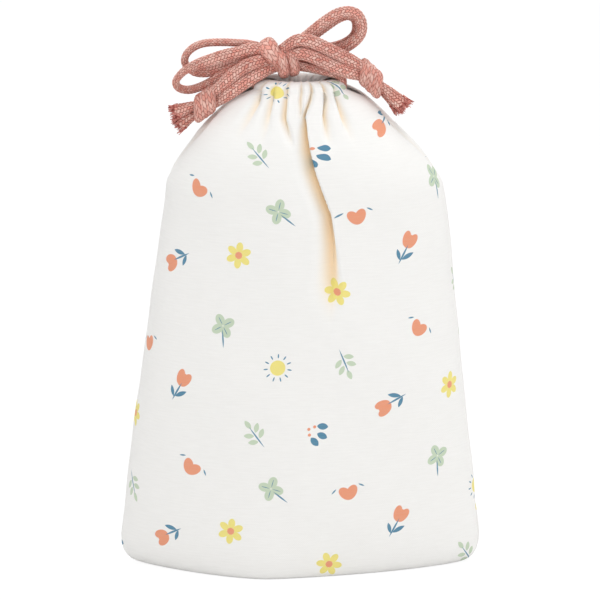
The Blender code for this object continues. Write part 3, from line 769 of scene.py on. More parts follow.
def cotton(name, ground_colour, printed):
    """Near-white woven cotton with painted warm shade in its pleats and seams, with or without the print."""
    material, tree, shader = new_material(name, 0.93, 0.12)
    shader.inputs["Sheen Roughness"].default_value = 0.5
    millimetres = scaled_vector(tree, named_map(tree, "cloth"), (1000.0, 1000.0, 0.0))
    weave = place_group(tree, weave_group, millimetres)
    hollow = tree.nodes.new("ShaderNodeAttribute")
    hollow.attribute_name = "hollow"
    # Painted shade: the deeper a point lies in a pleat or seam, the more it takes the warm shade colour.
    painted_pleat_shade = smooth_step(tree, hollow.outputs["Fac"], 0.0003, 0.0050, top=0.90)
    colour = mixed_colour(tree, painted_pleat_shade, ground_colour, cloth_painted_pleat_shade_colour)
    if printed:
        wrapped = repeated_map(tree, millimetres)
        for motif, x, y, turn, shape_colour, line_colour in print_repeat:
            local = placed_map(tree, wrapped, (x, y), turn, (motif_scale, motif_scale))
            inked = place_group(tree, motifs[motif], local)
            colour = mixed_colour(tree, inked["Shape"], colour, shape_colour)
            colour = mixed_colour(tree, inked["Line"], colour, line_colour)
    tone = smooth_step(tree, weave["Slub"], 0.25, 0.75, top=0.09)
    link(tree, mixed_colour(tree, tone, colour, slub_colour), shader.inputs["Base Color"])
    add_bump(tree, shader, weave["Height"], 0.00007, 0.55)
    return material


pouch_cloth.data.materials.append(cotton("printed_cotton", cloth_colour, True))
pouch_cloth.data.materials.append(cotton("plain_reverse", cloth_reverse_painted_light_colour, False))


# The strings.
# Each is a soft flat cord, braided from coral cotton. It goes once round the channel, leaves it twice
# at its own side slit, and runs double through the bow to a knot near its two frayed ends.
cord_width = 0.0052
cord_flatness = 0.0028
braid_columns = 14
braid_pitch = 0.0015
braid_relief = 0.00022
stitch_lean = 0.55
around_points = 56
along_step = 0.00034
section_power = 0.85
end_rings = 3.0
end_width_share = 0.25
smoothing_passes = 12
route_samples = 24

# Each route runs from the channel through the bow to the tip, as X, Y, Z, the turn that shows the flat
# face at 0 and the edge at 90, and the width as a share of the loose cord's.
left_front_route = (
    (-0.0146, -0.0062, 0.2041, 90, 0.7), (-0.016, -0.0044, 0.2044, 90, 0.72),
    (-0.0188, -0.0032, 0.2058, 90, 0.8), (-0.0197, -0.0027, 0.2089, 90, 0.85),
    (-0.018, -0.0027, 0.212, 90, 0.9), (-0.015, -0.0022, 0.2142, 60, 0.9),
    (-0.011, -0.0016, 0.216, 20, 0.85), (-0.0066, -0.001, 0.2168, 0, 0.8),
    (-0.0048, -0.0016, 0.2186, 0, 0.75), (-0.0066, -0.0024, 0.2198, 0, 0.75),
    (-0.01, -0.003, 0.2196, 0, 0.85), (-0.0202, -0.0048, 0.221, 0, 1.0), (-0.0252, -0.0055, 0.2198, 0, 1.0),
    (-0.0311, -0.0055, 0.2185, 0, 1.0), (-0.037, -0.0055, 0.2166, 10, 1.0),
    (-0.0424, -0.005, 0.2148, 30, 0.95), (-0.0475, -0.0045, 0.2123, 60, 0.9),
    (-0.0508, -0.004, 0.2091, 80, 0.9), (-0.0519, -0.003, 0.2063, 88, 0.9),
    (-0.0504, -0.0014, 0.2038, 88, 0.9), (-0.0468, 0.0006, 0.2026, 85, 0.9),
    (-0.0426, 0.0024, 0.2032, 80, 0.9), (-0.038, 0.0028, 0.2052, 75, 0.9),
    (-0.0336, 0.0022, 0.208, 60, 0.9), (-0.0269, 0.0012, 0.2118, 40, 0.9),
    (-0.0202, 0.0006, 0.2158, 20, 0.85), (-0.011, 0.0002, 0.218, 0, 0.8),
    (-0.0062, -0.0008, 0.2176, 0, 0.75), (-0.0048, -0.003, 0.2172, 0, 0.75),
    (-0.0074, -0.0044, 0.217, 0, 0.8), (-0.012, -0.0046, 0.2168, 0, 0.9),
    (-0.0205, -0.0084, 0.2156, 0, 1.0), (-0.026, -0.0085, 0.2123, 0, 1.0),
    (-0.0302, -0.008, 0.2088, 0, 1.0), (-0.034, -0.0066, 0.205, 0, 0.85),
    (-0.0385, -0.0045, 0.2002, 0, 0.68), (-0.0425, -0.004, 0.1974, 0, 0.64),
    (-0.0462, -0.004, 0.1962, 0, 0.8), (-0.05, -0.004, 0.1949, 0, 1.05), (-0.0526, -0.004, 0.1941, 0, 1.2),
)
left_back_route = (
    (-0.0146, 0.0062, 0.2041, 90, 0.7), (-0.016, 0.0044, 0.2044, 90, 0.72),
    (-0.0188, 0.0032, 0.2058, 90, 0.8), (-0.0197, 0.0028, 0.2089, 90, 0.85),
    (-0.018, 0.0029, 0.2118, 90, 0.9), (-0.015, 0.0028, 0.214, 60, 0.9), (-0.011, 0.002, 0.216, 20, 0.85),
    (-0.0064, 0.0016, 0.2172, 0, 0.75), (-0.005, 0.0014, 0.2188, 0, 0.75),
    (-0.0066, 0.0012, 0.2196, 20, 0.75), (-0.01, 0.001, 0.219, 40, 0.85), (-0.0202, 0.001, 0.222, 75, 0.95),
    (-0.0265, 0.002, 0.2224, 85, 0.95), (-0.0353, 0.003, 0.2224, 88, 0.95),
    (-0.0412, 0.0035, 0.2216, 88, 0.95), (-0.0454, 0.004, 0.2194, 88, 0.95),
    (-0.0479, 0.0045, 0.2162, 88, 0.95), (-0.0479, 0.005, 0.2127, 88, 0.95),
    (-0.0445, 0.005, 0.2095, 85, 0.95), (-0.0399, 0.0052, 0.2092, 60, 0.95),
    (-0.0353, 0.0054, 0.2105, 40, 1.0), (-0.0302, 0.0054, 0.2127, 30, 1.0),
    (-0.0248, 0.0052, 0.2148, 20, 1.0), (-0.019, 0.0054, 0.2164, 10, 0.9), (-0.01, 0.0034, 0.2176, 0, 0.8),
    (-0.0056, 0.001, 0.2168, 0, 0.75), (-0.0048, -0.002, 0.215, 0, 0.75),
    (-0.0074, -0.0036, 0.2138, 0, 0.8), (-0.012, -0.004, 0.213, 0, 0.9), (-0.0196, -0.008, 0.2098, 0, 1.0),
    (-0.025, -0.0085, 0.2062, 0, 1.0), (-0.0292, -0.0075, 0.203, 0, 1.0), (-0.033, -0.0058, 0.2, 0, 0.85),
    (-0.038, -0.0028, 0.1962, 0, 0.68), (-0.0418, -0.0022, 0.1936, 0, 0.64),
    (-0.0454, -0.002, 0.1919, 0, 0.8), (-0.0486, -0.002, 0.1897, 0, 1.05),
    (-0.0508, -0.002, 0.1883, 0, 1.25),
)
right_front_route = (
    (0.0146, -0.0062, 0.2001, 90, 0.7), (0.016, -0.0044, 0.2005, 90, 0.72),
    (0.0176, -0.003, 0.2026, 90, 0.8), (0.018, -0.0028, 0.2062, 90, 0.85), (0.0166, -0.003, 0.209, 90, 0.9),
    (0.0136, -0.0034, 0.2104, 90, 0.95), (0.008, -0.0032, 0.2116, 80, 0.95),
    (0.002, -0.0028, 0.2128, 60, 0.9), (-0.004, -0.002, 0.214, 30, 0.85),
    (-0.0096, -0.0016, 0.215, 0, 0.75), (-0.012, -0.0018, 0.2168, 0, 0.7),
    (-0.0112, -0.0026, 0.2184, 0, 0.7), (-0.008, -0.003, 0.219, 0, 0.8), (0.001, -0.0038, 0.2251, 10, 0.85),
    (0.0055, -0.004, 0.2288, 20, 0.85), (0.0101, -0.0038, 0.2325, 25, 0.85),
    (0.0151, -0.0034, 0.2356, 25, 0.85), (0.0197, -0.0026, 0.2366, 25, 0.85),
    (0.0236, -0.0018, 0.2352, 25, 0.88), (0.0256, -0.0008, 0.2311, 25, 0.9),
    (0.025, 0.0002, 0.2262, 25, 0.9), (0.0214, 0.0006, 0.2224, 25, 0.95), (0.016, 0.0008, 0.2196, 20, 0.95),
    (0.0092, 0.0008, 0.218, 10, 0.95), (0.0025, 0.0006, 0.217, 0, 0.9), (-0.008, 0, 0.217, 0, 0.75),
    (-0.0124, -0.001, 0.2172, 0, 0.7), (-0.013, -0.003, 0.2184, 0, 0.7),
    (-0.0104, -0.0042, 0.2196, 0, 0.75), (-0.008, -0.0048, 0.2206, 0, 0.8),
    (-0.0017, -0.0085, 0.2254, 0, 0.95), (0.0034, -0.009, 0.2256, 0, 1.0), (0.0084, -0.009, 0.2237, 0, 1.0),
    (0.0139, -0.0085, 0.2208, 0, 1.0), (0.0197, -0.0075, 0.2177, 0, 1.0), (0.0248, -0.0062, 0.2146, 0, 0.8),
    (0.029, -0.005, 0.2104, 0, 0.66), (0.033, -0.0052, 0.2062, 0, 0.66), (0.0368, -0.0058, 0.2032, 0, 0.85),
    (0.0402, -0.006, 0.2002, 0, 1.05), (0.0428, -0.006, 0.1978, 0, 1.3),
)
right_back_route = (
    (0.0146, 0.0062, 0.2001, 90, 0.7), (0.016, 0.0044, 0.2005, 90, 0.72), (0.0176, 0.003, 0.2026, 90, 0.8),
    (0.018, 0.0028, 0.2062, 90, 0.85), (0.0166, 0.003, 0.209, 90, 0.9), (0.0136, 0.0034, 0.2104, 90, 0.95),
    (0.008, 0.0032, 0.2116, 80, 0.95), (0.002, 0.0028, 0.2126, 60, 0.9), (-0.004, 0.0018, 0.214, 30, 0.85),
    (-0.0096, 0.001, 0.2152, 0, 0.75), (-0.0118, 0.0012, 0.2172, 0, 0.7), (-0.0108, 0.0018, 0.2186, 0, 0.7),
    (-0.008, 0.002, 0.219, 0, 0.8), (0.001, 0.002, 0.2226, 10, 0.85), (0.0061, 0.0022, 0.2262, 20, 0.85),
    (0.011, 0.0024, 0.2298, 25, 0.85), (0.0158, 0.0028, 0.233, 25, 0.85), (0.02, 0.0034, 0.2342, 25, 0.85),
    (0.0232, 0.0042, 0.2326, 25, 0.88), (0.0242, 0.005, 0.229, 25, 0.9), (0.0232, 0.0055, 0.225, 25, 0.9),
    (0.0198, 0.0058, 0.2217, 25, 0.95), (0.0145, 0.0058, 0.2196, 20, 0.95),
    (0.008, 0.0056, 0.2184, 10, 0.95), (0.0021, 0.0054, 0.2176, 0, 0.9), (-0.008, 0.0034, 0.217, 0, 0.75),
    (-0.0122, 0.0012, 0.2166, 0, 0.7), (-0.0126, -0.0016, 0.2162, 0, 0.7),
    (-0.0104, -0.0034, 0.2162, 0, 0.75), (-0.008, -0.0044, 0.2164, 0, 0.8),
    (-0.0004, -0.0088, 0.22, 0, 0.95), (0.0046, -0.0092, 0.219, 0, 1.0), (0.0101, -0.009, 0.2166, 0, 1.0),
    (0.0155, -0.0085, 0.2138, 0, 1.0), (0.0206, -0.0072, 0.2117, 0, 1.0), (0.025, -0.0052, 0.21, 0, 0.84),
    (0.0288, -0.0012, 0.207, 0, 0.66), (0.0328, -0.001, 0.204, 0, 0.66), (0.0362, -0.0012, 0.2014, 0, 0.85),
    (0.0392, -0.0014, 0.1986, 0, 1.05), (0.0412, -0.0016, 0.1964, 0, 1.3),
)


def smooth_route(points, step):
    """Evenly spaced points on a smooth curve through a route's own points, with the route's further
    values spread along it in the same way."""
    route = [np.array(point, float) for point in points]
    route = [2 * route[0] - route[1], *route, 2 * route[-1] - route[-2]]
    dense = []
    for before, start, end, after in zip(route, route[1:], route[2:], route[3:]):
        for t in np.linspace(0.0, 1.0, route_samples, endpoint=False):
            dense.append(0.5 * ((2 * start) + (end - before) * t
                                + (2 * before - 5 * start + 4 * end - after) * t * t
                                + (3 * start - before - 3 * end + after) * t * t * t))
    dense.append(route[-2])
    dense = np.array(dense)
    way = curve_length(dense[:, :3])
    spaced = np.linspace(0.0, way[-1], max(2, round(way[-1] / step)) + 1)
    return np.column_stack([np.interp(spaced, way, column) for column in dense.T])


def directions_along(line):
    return unit(np.gradient(line, axis=0))


def square_to(along, vectors):
    """The part of each vector that is square to the cord, at unit length."""
    vectors = vectors - along * (vectors * along).sum(1)[:, None]
    return vectors / np.maximum(np.linalg.norm(vectors, axis=1)[:, None], 1e-6)


def flat_frames(line, turns):
    """For each point of a cord: the way along it, its flat width's direction and its thickness direction."""
    along = directions_along(line)
    thin = square_to(along, np.tile((0.0, -1.0, 0.0), (len(line), 1)))
    for _ in range(smoothing_passes):
        thin[1:-1] = (thin[:-2] + 2.0 * thin[1:-1] + thin[2:]) / 4.0
    thin = square_to(along, thin)
    wide = np.cross(along, thin)
    angle = np.radians(turns)[:, None]
    return along, wide * np.cos(angle) + thin * np.sin(angle), thin * np.cos(angle) - wide * np.sin(angle)


def braid_height(around, along):
    """The braid's relief: columns of slanting stitches, which lean left and right by turns."""
    column = np.floor(around)
    across = around - column
    odd = np.mod(column, 2.0)
    run = np.mod(along + 0.5 * odd + stitch_lean * (across - 0.5) * (1.0 - 2.0 * odd), 1.0)
    return (1.0 - (2.0 * run - 1.0) ** 2) * (1.0 - (2.0 * across - 1.0) ** 4)


def tube_faces(rings, sides, first=0):
    """The faces of a closed tube: its wall from ring to ring, and then its two ends."""
    faces = []
    for low in range(first, first + (rings - 1) * sides, sides):
        for k in range(sides):
            after = (k + 1) % sides
            faces.append((low + k, low + after, low + sides + after, low + sides + k))
    last = first + (rings - 1) * sides
    return [*faces, tuple(range(first, first + sides))[::-1], tuple(range(last, last + sides))]


def braided_cord(name, line, frames, scale, flatness=cord_flatness, stretch=1.0):
    """A soft flat braided cord as a mesh, with its stitches raised, along a line of close points."""
    along, wide, thin = frames
    from_end = np.minimum(np.arange(len(line)), np.arange(len(line))[::-1])
    rounding = np.sqrt(1.0 - (1.0 - np.clip(from_end / end_rings, 0.0, 1.0)) ** 2)
    rounding = rounding * (1.0 - end_width_share) + end_width_share
    around = np.linspace(0.0, 1.0, around_points, endpoint=False)
    across, through = [np.sign(side) * np.abs(side) ** section_power
                       for side in (np.cos(2.0 * math.pi * around), np.sin(2.0 * math.pi * around))]
    run = curve_length(line) / (braid_pitch * stretch)
    lift = braid_height(*np.meshgrid(around * braid_columns, run)) * braid_relief
    half_width = ((cord_width / 2 * scale * rounding)[:, None] + lift) * across[None, :]
    half_thick = ((flatness / 2 * rounding)[:, None] + lift) * through[None, :]
    rings = (line[:, None, :] + wide[:, None, :] * half_width[:, :, None]
             + thin[:, None, :] * half_thick[:, :, None])
    cord = add_piece(name, rings.reshape(-1, 3).tolist(), tube_faces(len(line), around_points))
    loops = [((k + right) / around_points * braid_columns, run[ring + up])
             for ring in range(len(line) - 1) for k in range(around_points)
             for up, right in ((0, 0), (0, 1), (1, 1), (1, 0))]
    add_map(cord.data, "braid", loops + [(0.5, 0.5)] * (2 * around_points))
    return cord


def make_braid_group():
    """Slanting stitches from a cord's own map with a tone for each, streaks of yarn, and loose fibre."""
    group, vector, leave = new_group("braid", "Stitch", "Tone", "Streak", "Fibre")
    around, along = split_vector(group, vector)
    uneven = noise_node(group, vector, 0.9, 2.0, 0.5)
    around = sum_node(group, "MULTIPLY_ADD", uneven, 0.30, sum_node(group, "SUBTRACT", around, 0.15))
    along = sum_node(group, "MULTIPLY_ADD", uneven, -0.50, sum_node(group, "ADD", along, 0.25))
    column = sum_node(group, "FLOOR", around)
    across = sum_node(group, "SUBTRACT", around, column)
    odd = sum_node(group, "FLOORED_MODULO", column, 2.0)
    lean = sum_node(group, "MULTIPLY_ADD", odd, -2.0 * stitch_lean, stitch_lean)
    slant = sum_node(group, "MULTIPLY", sum_node(group, "SUBTRACT", across, 0.5), lean)
    run = sum_node(group, "ADD", sum_node(group, "MULTIPLY_ADD", odd, 0.5, along), slant)
    tone = group.nodes.new("ShaderNodeTexWhiteNoise")
    tone.noise_dimensions = "2D"
    link(group, joined_vector(group, column, sum_node(group, "FLOOR", run)), tone.inputs["Vector"])
    link(group, tone.outputs["Value"], leave["Tone"])
    run = sum_node(group, "MULTIPLY_ADD", sum_node(group, "FRACT", run), 2.0, -1.0)
    edge = sum_node(group, "MULTIPLY_ADD", across, 2.0, -1.0)
    lengthwise = sum_node(group, "MULTIPLY_ADD", sum_node(group, "MULTIPLY", run, run), -1.0, 1.0)
    sideways = sum_node(group, "POWER", sum_node(group, "ABSOLUTE", edge), 4.0)
    sideways = sum_node(group, "MULTIPLY_ADD", sideways, -1.0, 1.0)
    stitch = sum_node(group, "MULTIPLY", lengthwise, sideways)
    link(group, sum_node(group, "POWER", stitch, 0.8, clamp=True), leave["Stitch"])
    yarns = noise_node(group, scaled_vector(group, vector, (5.0, 0.50, 1.0)), 1.5)
    link(group, smooth_step(group, yarns, 0.33, 0.60), leave["Streak"])
    fine = scaled_vector(group, vector, (5.0, 1.3, 1.0))
    link(group, noise_node(group, fine, 2.2, 4.0, 0.65), leave["Fibre"])
    return group


braid_group = make_braid_group()


def braided_cotton(name, stitching):
    """Dusty coral cotton yarn, with painted shade between the stitches, a painted highlight where the yarn
    stands up, and dull patches at random.
    """
    material, tree, shader = new_material(name, 0.88, 0.05)
    shader.inputs["Sheen Roughness"].default_value = 0.6
    shader.inputs["Sheen Tint"].default_value = (1.0, 0.82, 0.78, 1.0)
    braid = place_group(tree, braid_group, named_map(tree, "braid"))
    raised = sum_node(tree, "MULTIPLY", braid["Stitch"], stitching)
    raised = sum_node(tree, "MULTIPLY_ADD", braid["Streak"], 1.0 - stitching, raised)
    fibre = braid["Fibre"]
    patch = noise_node(tree, tree.nodes.new("ShaderNodeTexCoord").outputs["Object"], 160.0)
    # Painted shade: the braid turns dark red between the stitches, where its relief is low.
    body = mixed_colour(tree, smooth_step(tree, raised, 0.10, 0.68), cord_painted_shade_and_dull_colour, cord_yarn_colour)
    # Painted highlight: raised yarn turns pale, more so where its fibre and stitch tone are light.
    painted_highlight = sum_node(tree, "SUBTRACT", fibre, 0.12)
    painted_highlight = sum_node(tree, "MULTIPLY_ADD", braid["Tone"], 0.24, painted_highlight)
    painted_highlight = sum_node(tree, "MULTIPLY", smooth_step(tree, painted_highlight, 0.36, 0.64), raised)
    body = mixed_colour(tree, painted_highlight, body, cord_painted_highlight_colour)
    # Dull patches at random, in the same dark colour.
    dull = smooth_step(tree, patch, 0.40, 0.70, top=0.22)
    link(tree, mixed_colour(tree, dull, body, cord_painted_shade_and_dull_colour), shader.inputs["Base Color"])
    height = sum_node(tree, "MULTIPLY_ADD", fibre, 0.6, raised)
    add_bump(tree, shader, height, 0.0003, 0.8)
    return material


# Painted shade between the stitches, which also colours the random dull patches.
cord_painted_shade_and_dull_colour = (0.250, 0.036, 0.022, 1.0)
cord_yarn_colour = (0.820, 0.334, 0.264, 1.0)
# Painted highlight on the raised yarn.
cord_painted_highlight_colour = (0.960, 0.700, 0.610, 1.0)
string_cotton = braided_cotton("string_cotton", 1.0)
knotted_cotton = braided_cotton("knotted_cotton", 0.70)

strands = {}
strand_lines = {}
for side, route, nodes in (
    ("left_front", left_front_route,
     ("left_front_strand", "left_loop_front", "left_tail_upper", "left_end_upper")),
    ("left_back", left_back_route,
     ("left_back_strand", "left_loop_back", "left_tail_lower", "left_end_lower")),
    ("right_front", right_front_route,
     ("right_front_strand", "right_loop_outer", "right_tail_upper", "right_end_upper")),
    ("right_back", right_back_route,
     ("right_back_strand", "right_loop_inner", "right_tail_lower", "right_end_lower")),
):
    spread = smooth_route(route, along_step)
    line = spread[:, :3]
    strand = braided_cord(side + "_string", line, flat_frames(line, spread[:, 3]), spread[:, 4])
    strand.data.materials.append(string_cotton)
    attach(strand, "root")
    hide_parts(*nodes)
    strands[side] = strand
    strand_lines[side] = spread


# The strings' hidden stretches.
# Each string goes once round the channel under the turned-in cloth, the left one above the right one.
ring_route_points = 40
ring_width_share = 0.68
ring_opening = 8 / 96
upper_ring_height = turn_start - 0.0003
lower_ring_height = turn_start - 0.0044


def channel_ring(name, height, slit):
    """A string's stretch once round the channel, from its own slit back to it."""
    curve = closed_curve(ring_half_width, ring_half_depth, ring_squareness, 0.0)
    fractions = np.linspace(slit + ring_opening, slit + 1.0 - ring_opening, ring_route_points)
    points, _ = along_curve(curve, fractions)
    line = smooth_route([(x, y, height) for x, y in points], along_step)
    along = directions_along(line)
    wide = np.tile((0.0, 0.0, 1.0), (len(line), 1))
    frames = (along, wide, np.cross(wide, along))
    ring = braided_cord(name, line, frames, np.full(len(line), ring_width_share))
    ring.data.materials.append(string_cotton)
    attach(ring, "root")
    return ring


upper_ring = channel_ring("left_string_in_channel", upper_ring_height, 0.5)
lower_ring = channel_ring("right_string_in_channel", lower_ring_height, 0.0)
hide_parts("left_drawstring_in_channel")
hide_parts("right_drawstring_in_channel")


# The bow's centre.
# One string crosses over the other and is pulled under it, so that a broad wrap and two short ones
# beside it bite into the bundle, and their braid is stretched lengthwise.
broad_wrap_route = (
    (-0.015, 0.0036, 0.2204), (-0.0152, 0.001, 0.2222), (-0.0145, -0.0026, 0.2229),
    (-0.0131, -0.006, 0.2218), (-0.0112, -0.0078, 0.219), (-0.0092, -0.0064, 0.2158),
    (-0.0078, -0.004, 0.2126), (-0.0072, 0.001, 0.211), (-0.0082, 0.0052, 0.2122), (-0.011, 0.0066, 0.2158),
    (-0.0138, 0.0052, 0.2192), (-0.0144, 0.0026, 0.22),
)
middle_wrap_route = (
    (-0.0094, 0.003, 0.2184), (-0.009, -0.001, 0.2196), (-0.0084, -0.0052, 0.2196),
    (-0.0077, -0.0078, 0.218), (-0.0069, -0.0086, 0.2152), (-0.0065, -0.007, 0.212),
    (-0.0066, -0.0022, 0.2098), (-0.0072, 0.003, 0.2098), (-0.0082, 0.0062, 0.2123),
    (-0.0092, 0.0062, 0.216), (-0.0095, 0.0036, 0.2182),
)
narrow_wrap_route = (
    (-0.0052, 0.003, 0.2186), (-0.005, -0.001, 0.2198), (-0.0044, -0.0048, 0.2204),
    (-0.0036, -0.007, 0.2192), (-0.0027, -0.0078, 0.216), (-0.0023, -0.0064, 0.2128),
    (-0.0025, -0.0022, 0.2106), (-0.0032, 0.003, 0.2102), (-0.0044, 0.0062, 0.2125),
    (-0.0052, 0.0062, 0.216), (-0.0054, 0.0036, 0.2184),
)
broad_widths = ((0, 0.9), (0.12, 1.4), (0.24, 1.55), (0.34, 1.15), (0.44, 0.80), (1, 0.7))
narrow_widths = ((0, 0.7), (0.2, 0.75), (0.5, 0.80), (1, 0.7))
wrap_flatness = 0.0030
wrap_stretch = 1.5


def knot_wrap(name, line, outward, widths):
    """A turn of cord round the strands in a knot, with its flat face outward."""
    along = directions_along(line)
    thin = square_to(along, outward)
    share = np.linspace(0.0, 1.0, len(line))
    frames = (along, np.cross(along, thin), thin)
    wrap = braided_cord(name, line, frames, np.interp(share, *zip(*widths)), wrap_flatness, wrap_stretch)
    wrap.data.materials.append(knotted_cotton)
    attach(wrap, "root")
    return wrap


def bow_wrap(name, route, widths):
    line = smooth_route(route, along_step)
    return knot_wrap(name, line, line - line.mean(axis=0), widths)


broad_wrap = bow_wrap("bow_broad_wrap", broad_wrap_route, broad_widths)
middle_wrap = bow_wrap("bow_middle_wrap", middle_wrap_route, narrow_widths)
narrow_wrap = bow_wrap("bow_narrow_wrap", narrow_wrap_route, narrow_widths)
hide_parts("bow_knot")


# The end knots.
# Both ends of a string are tied together in an overhand knot, which shows as three slanting turns.
end_wrap_widths = ((0, 0.7), (0.12, 0.86), (0.88, 0.86), (1, 0.7))
end_wrap_turns = 2.9
end_wrap_start = -0.45 * math.pi
end_wrap_points = 91


def end_knot(name, centre, bundle_direction, half_height, half_depth, reach, lean):
    """Three turns round the bundle, from behind it to behind it, each leaning along it."""
    ahead = Vector((bundle_direction[0], 0.0, bundle_direction[1])).normalized()
    across = np.array((-ahead.z, 0.0, ahead.x)) * (1.0 if ahead.x > 0.0 else -1.0)
    ahead = np.array(ahead)
    turn = np.linspace(0.0, 1.0, end_wrap_points) * 2.0 * math.pi * end_wrap_turns + end_wrap_start
    run = np.linspace(-reach, reach, len(turn)) - lean * np.cos(turn)
    radial = np.cos(turn)[:, None] * half_height * across
    radial = radial - np.sin(turn)[:, None] * half_depth * np.array((0.0, 1.0, 0.0))
    route = np.column_stack((np.array(centre) + ahead * run[:, None] + radial, radial))
    spread = smooth_route(route, along_step)
    return knot_wrap(name, spread[:, :3], spread[:, 3:], end_wrap_widths)


left_knot = end_knot("left_knot_turns", (-0.0397, -0.0034, 0.1975), (-0.81, -0.58),
                     half_height=0.0036, half_depth=0.0042, reach=0.0040, lean=0.0020)
right_knot = end_knot("right_knot_turns", (0.0296, -0.0032, 0.2083), (0.725, -0.689),
                      half_height=0.0033, half_depth=0.0046, reach=0.0048, lean=0.0018)
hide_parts("left_end_knot")
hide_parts("right_end_knot")


# The frayed tips.
# Past each end knot the cut cord has come apart into its yarns, which fan out by a few millimetres.
yarn_width = 0.00042
yarn_sides = 6
yarn_points = 9
yarn_root_rings = 8
yarn_root_length = 0.0026
yarn_reach = (0.55, 1.1)
yarn_thickness = (0.7, 1.25)
yarn_sway = 0.0009
yarn_bend = 0.4
yarn_wave = 0.001
yarn_taper = 0.45
root_width_share = 0.46
root_depth_share = 0.42
fray_draw = np.random.default_rng(7)


def frayed_tip(name, spread_line, length, spread, count):
    """Loose yarns that start inside the cord's end and fan out past it."""
    line = spread_line[:, :3]
    along, wide, thin = flat_frames(line, spread_line[:, 3])
    start, ahead, side, front = line[-yarn_root_rings], along[-1], wide[-1], thin[-1]
    tip_width = cord_width * spread_line[-1, 4]
    vertices = []
    faces = []
    for _ in range(count):
        across = fray_draw.uniform(-1.0, 1.0)
        deep = fray_draw.uniform(-1.0, 1.0)
        reach = length * fray_draw.uniform(*yarn_reach)
        sway = fray_draw.uniform(-1.0, 1.0, 3) * yarn_sway
        bend = fray_draw.uniform(-yarn_bend, yarn_bend)
        radius = yarn_width / 2 * fray_draw.uniform(*yarn_thickness)
        track = []
        for t in np.linspace(0.0, 1.0, yarn_points):
            fan = 1.0 + spread * t * t
            track.append(start + ahead * (yarn_root_length + reach) * t
                         + side * tip_width * root_width_share * across * fan
                         + front * cord_flatness * root_depth_share * deep * fan
                         + sway * t * t + front * yarn_wave * math.sin(3.0 * t + 6.0 * bend) * t)
        track = np.array(track)
        direction = directions_along(track)
        first = unit(np.cross(direction, np.array((0.3, 0.2, 0.93))))
        second = np.cross(direction, first)
        faces += tube_faces(yarn_points, yarn_sides, len(vertices))
        for level in range(yarn_points):
            taper = 1.0 - yarn_taper * (level / (yarn_points - 1)) ** 3
            for spin in np.arange(yarn_sides) * 2.0 * math.pi / yarn_sides:
                offset = first[level] * math.cos(spin) + second[level] * math.sin(spin)
                vertices.append(tuple(track[level] + offset * radius * taper))
    tip = add_piece(name, vertices, faces)
    tip.data.materials.append(loose_yarn)
    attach(tip, "root")
    return tip


yarn_dark_colour = (0.36, 0.075, 0.060, 1.0)
yarn_pale_colour = (0.76, 0.33, 0.28, 1.0)


def make_loose_yarn():
    """The same coral cotton, untwisted, in uneven tones."""
    material, tree, shader = new_material("loose_yarn", 0.9, 0.05)
    place = tree.nodes.new("ShaderNodeTexCoord").outputs["Object"]
    tone = smooth_step(tree, noise_node(tree, place, 900.0), 0.35, 0.65)
    link(tree, mixed_colour(tree, tone, yarn_dark_colour, yarn_pale_colour), shader.inputs["Base Color"])
    add_bump(tree, shader, noise_node(tree, place, 2600.0, 2.0), 0.0002, 0.5)
    return material


loose_yarn = make_loose_yarn()
for side, length, spread, count in (
    ("left_front", 0.0013, 0.10, 90), ("left_back", 0.0013, 0.10, 90),
    ("right_front", 0.0022, 0.20, 96), ("right_back", 0.0022, 0.20, 96),
):
    frayed_tip(side + "_frayed_tip", strand_lines[side], length, spread, count)

for side, strand in strands.items():
    line = strand_lines[side][:, :3]


# The floor and the light.
# A plain white sweep and large soft lamps on both sides, as in a light tent.
floor_half = 4.0
floor_colour = (0.86, 0.86, 0.86, 1.0)
floor_glow_strength = 1.09
floor_glow_share = 0.82
world_strength = 0.58
world_seen_extra = 0.47
white = (1.0, 1.0, 1.0, 1.0)
lamp_aim = Vector((0.0, 0.0, 0.11))
floor_corners = [(floor_half * x, floor_half * y, 0.0) for x, y in ((-1, -1), (1, -1), (1, 1), (-1, 1))]
floor = add_piece("floor", floor_corners, [(0, 1, 2, 3)])


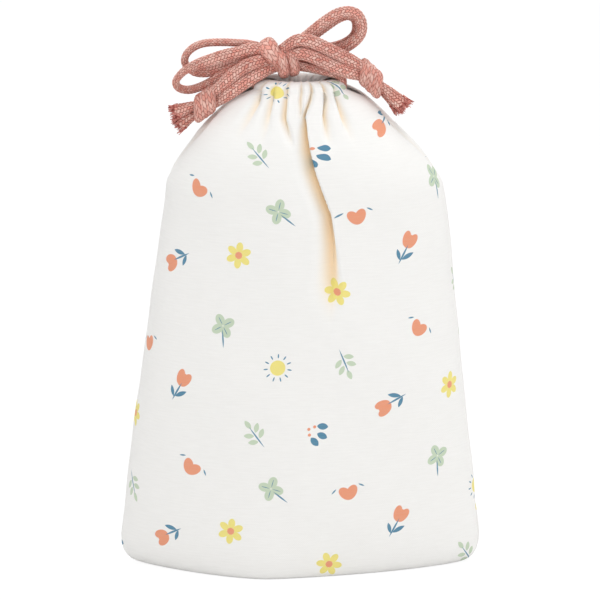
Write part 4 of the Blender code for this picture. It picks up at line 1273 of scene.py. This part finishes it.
def seen_directly(tree):
    """One for camera, glossy and transmission rays, and nothing for rays that only bring light."""
    path = tree.nodes.new("ShaderNodeLightPath")
    seen = sum_node(tree, "MAXIMUM", path.outputs["Is Camera Ray"], path.outputs["Is Glossy Ray"])
    return sum_node(tree, "MAXIMUM", seen, path.outputs["Is Transmission Ray"])


floor_material = bpy.data.materials.new("floor_white")
floor_material.use_nodes = True
floor_tree = floor_material.node_tree
floor_shader = floor_tree.nodes["Principled BSDF"]
floor_shader.inputs["Base Color"].default_value = floor_colour
floor_shader.inputs["Roughness"].default_value = 0.9
floor_glow = floor_tree.nodes.new("ShaderNodeEmission")
floor_glow.inputs["Color"].default_value = white
floor_glow.inputs["Strength"].default_value = floor_glow_strength
floor_share = sum_node(floor_tree, "MULTIPLY", seen_directly(floor_tree), floor_glow_share)
floor_mix = floor_tree.nodes.new("ShaderNodeMixShader")
floor_tree.links.new(floor_share, floor_mix.inputs[0])
floor_tree.links.new(floor_shader.outputs[0], floor_mix.inputs[1])
floor_tree.links.new(floor_glow.outputs[0], floor_mix.inputs[2])
floor_tree.links.new(floor_mix.outputs[0], floor_tree.nodes["Material Output"].inputs[0])
floor.data.materials.append(floor_material)

world = bpy.data.worlds.new("light_tent")
bpy.context.scene.world = world
world.use_nodes = True
world_tree = world.node_tree
world_light = world_tree.nodes["Background"]
world_light.inputs["Color"].default_value = white
strength = sum_node(world_tree, "MULTIPLY_ADD", seen_directly(world_tree), world_seen_extra, world_strength)
world_tree.links.new(strength, world_light.inputs["Strength"])


def soft_lamp(name, place, size, power):
    """A square softbox, aimed at the middle of the pouch."""
    data = bpy.data.lights.new(name, "AREA")
    data.size = size
    data.energy = power
    lamp = bpy.data.objects.new(name, data)
    lamp.location = place
    lamp.rotation_euler = (lamp_aim - Vector(place)).to_track_quat("-Z", "Y").to_euler()
    bpy.context.scene.collection.objects.link(lamp)


soft_lamp("left_softbox", (-1.3, -0.7, 0.7), 0.8, 3.4)
soft_lamp("right_softbox", (1.3, -0.4, 0.6), 0.9, 4.0)
soft_lamp("front_softbox", (0.25, -1.35, 0.45), 0.8, 3.2)
soft_lamp("top_softbox", (0.0, 0.1, 1.4), 1.0, 7.5)

bpy.context.scene.view_settings.view_transform = "Standard"
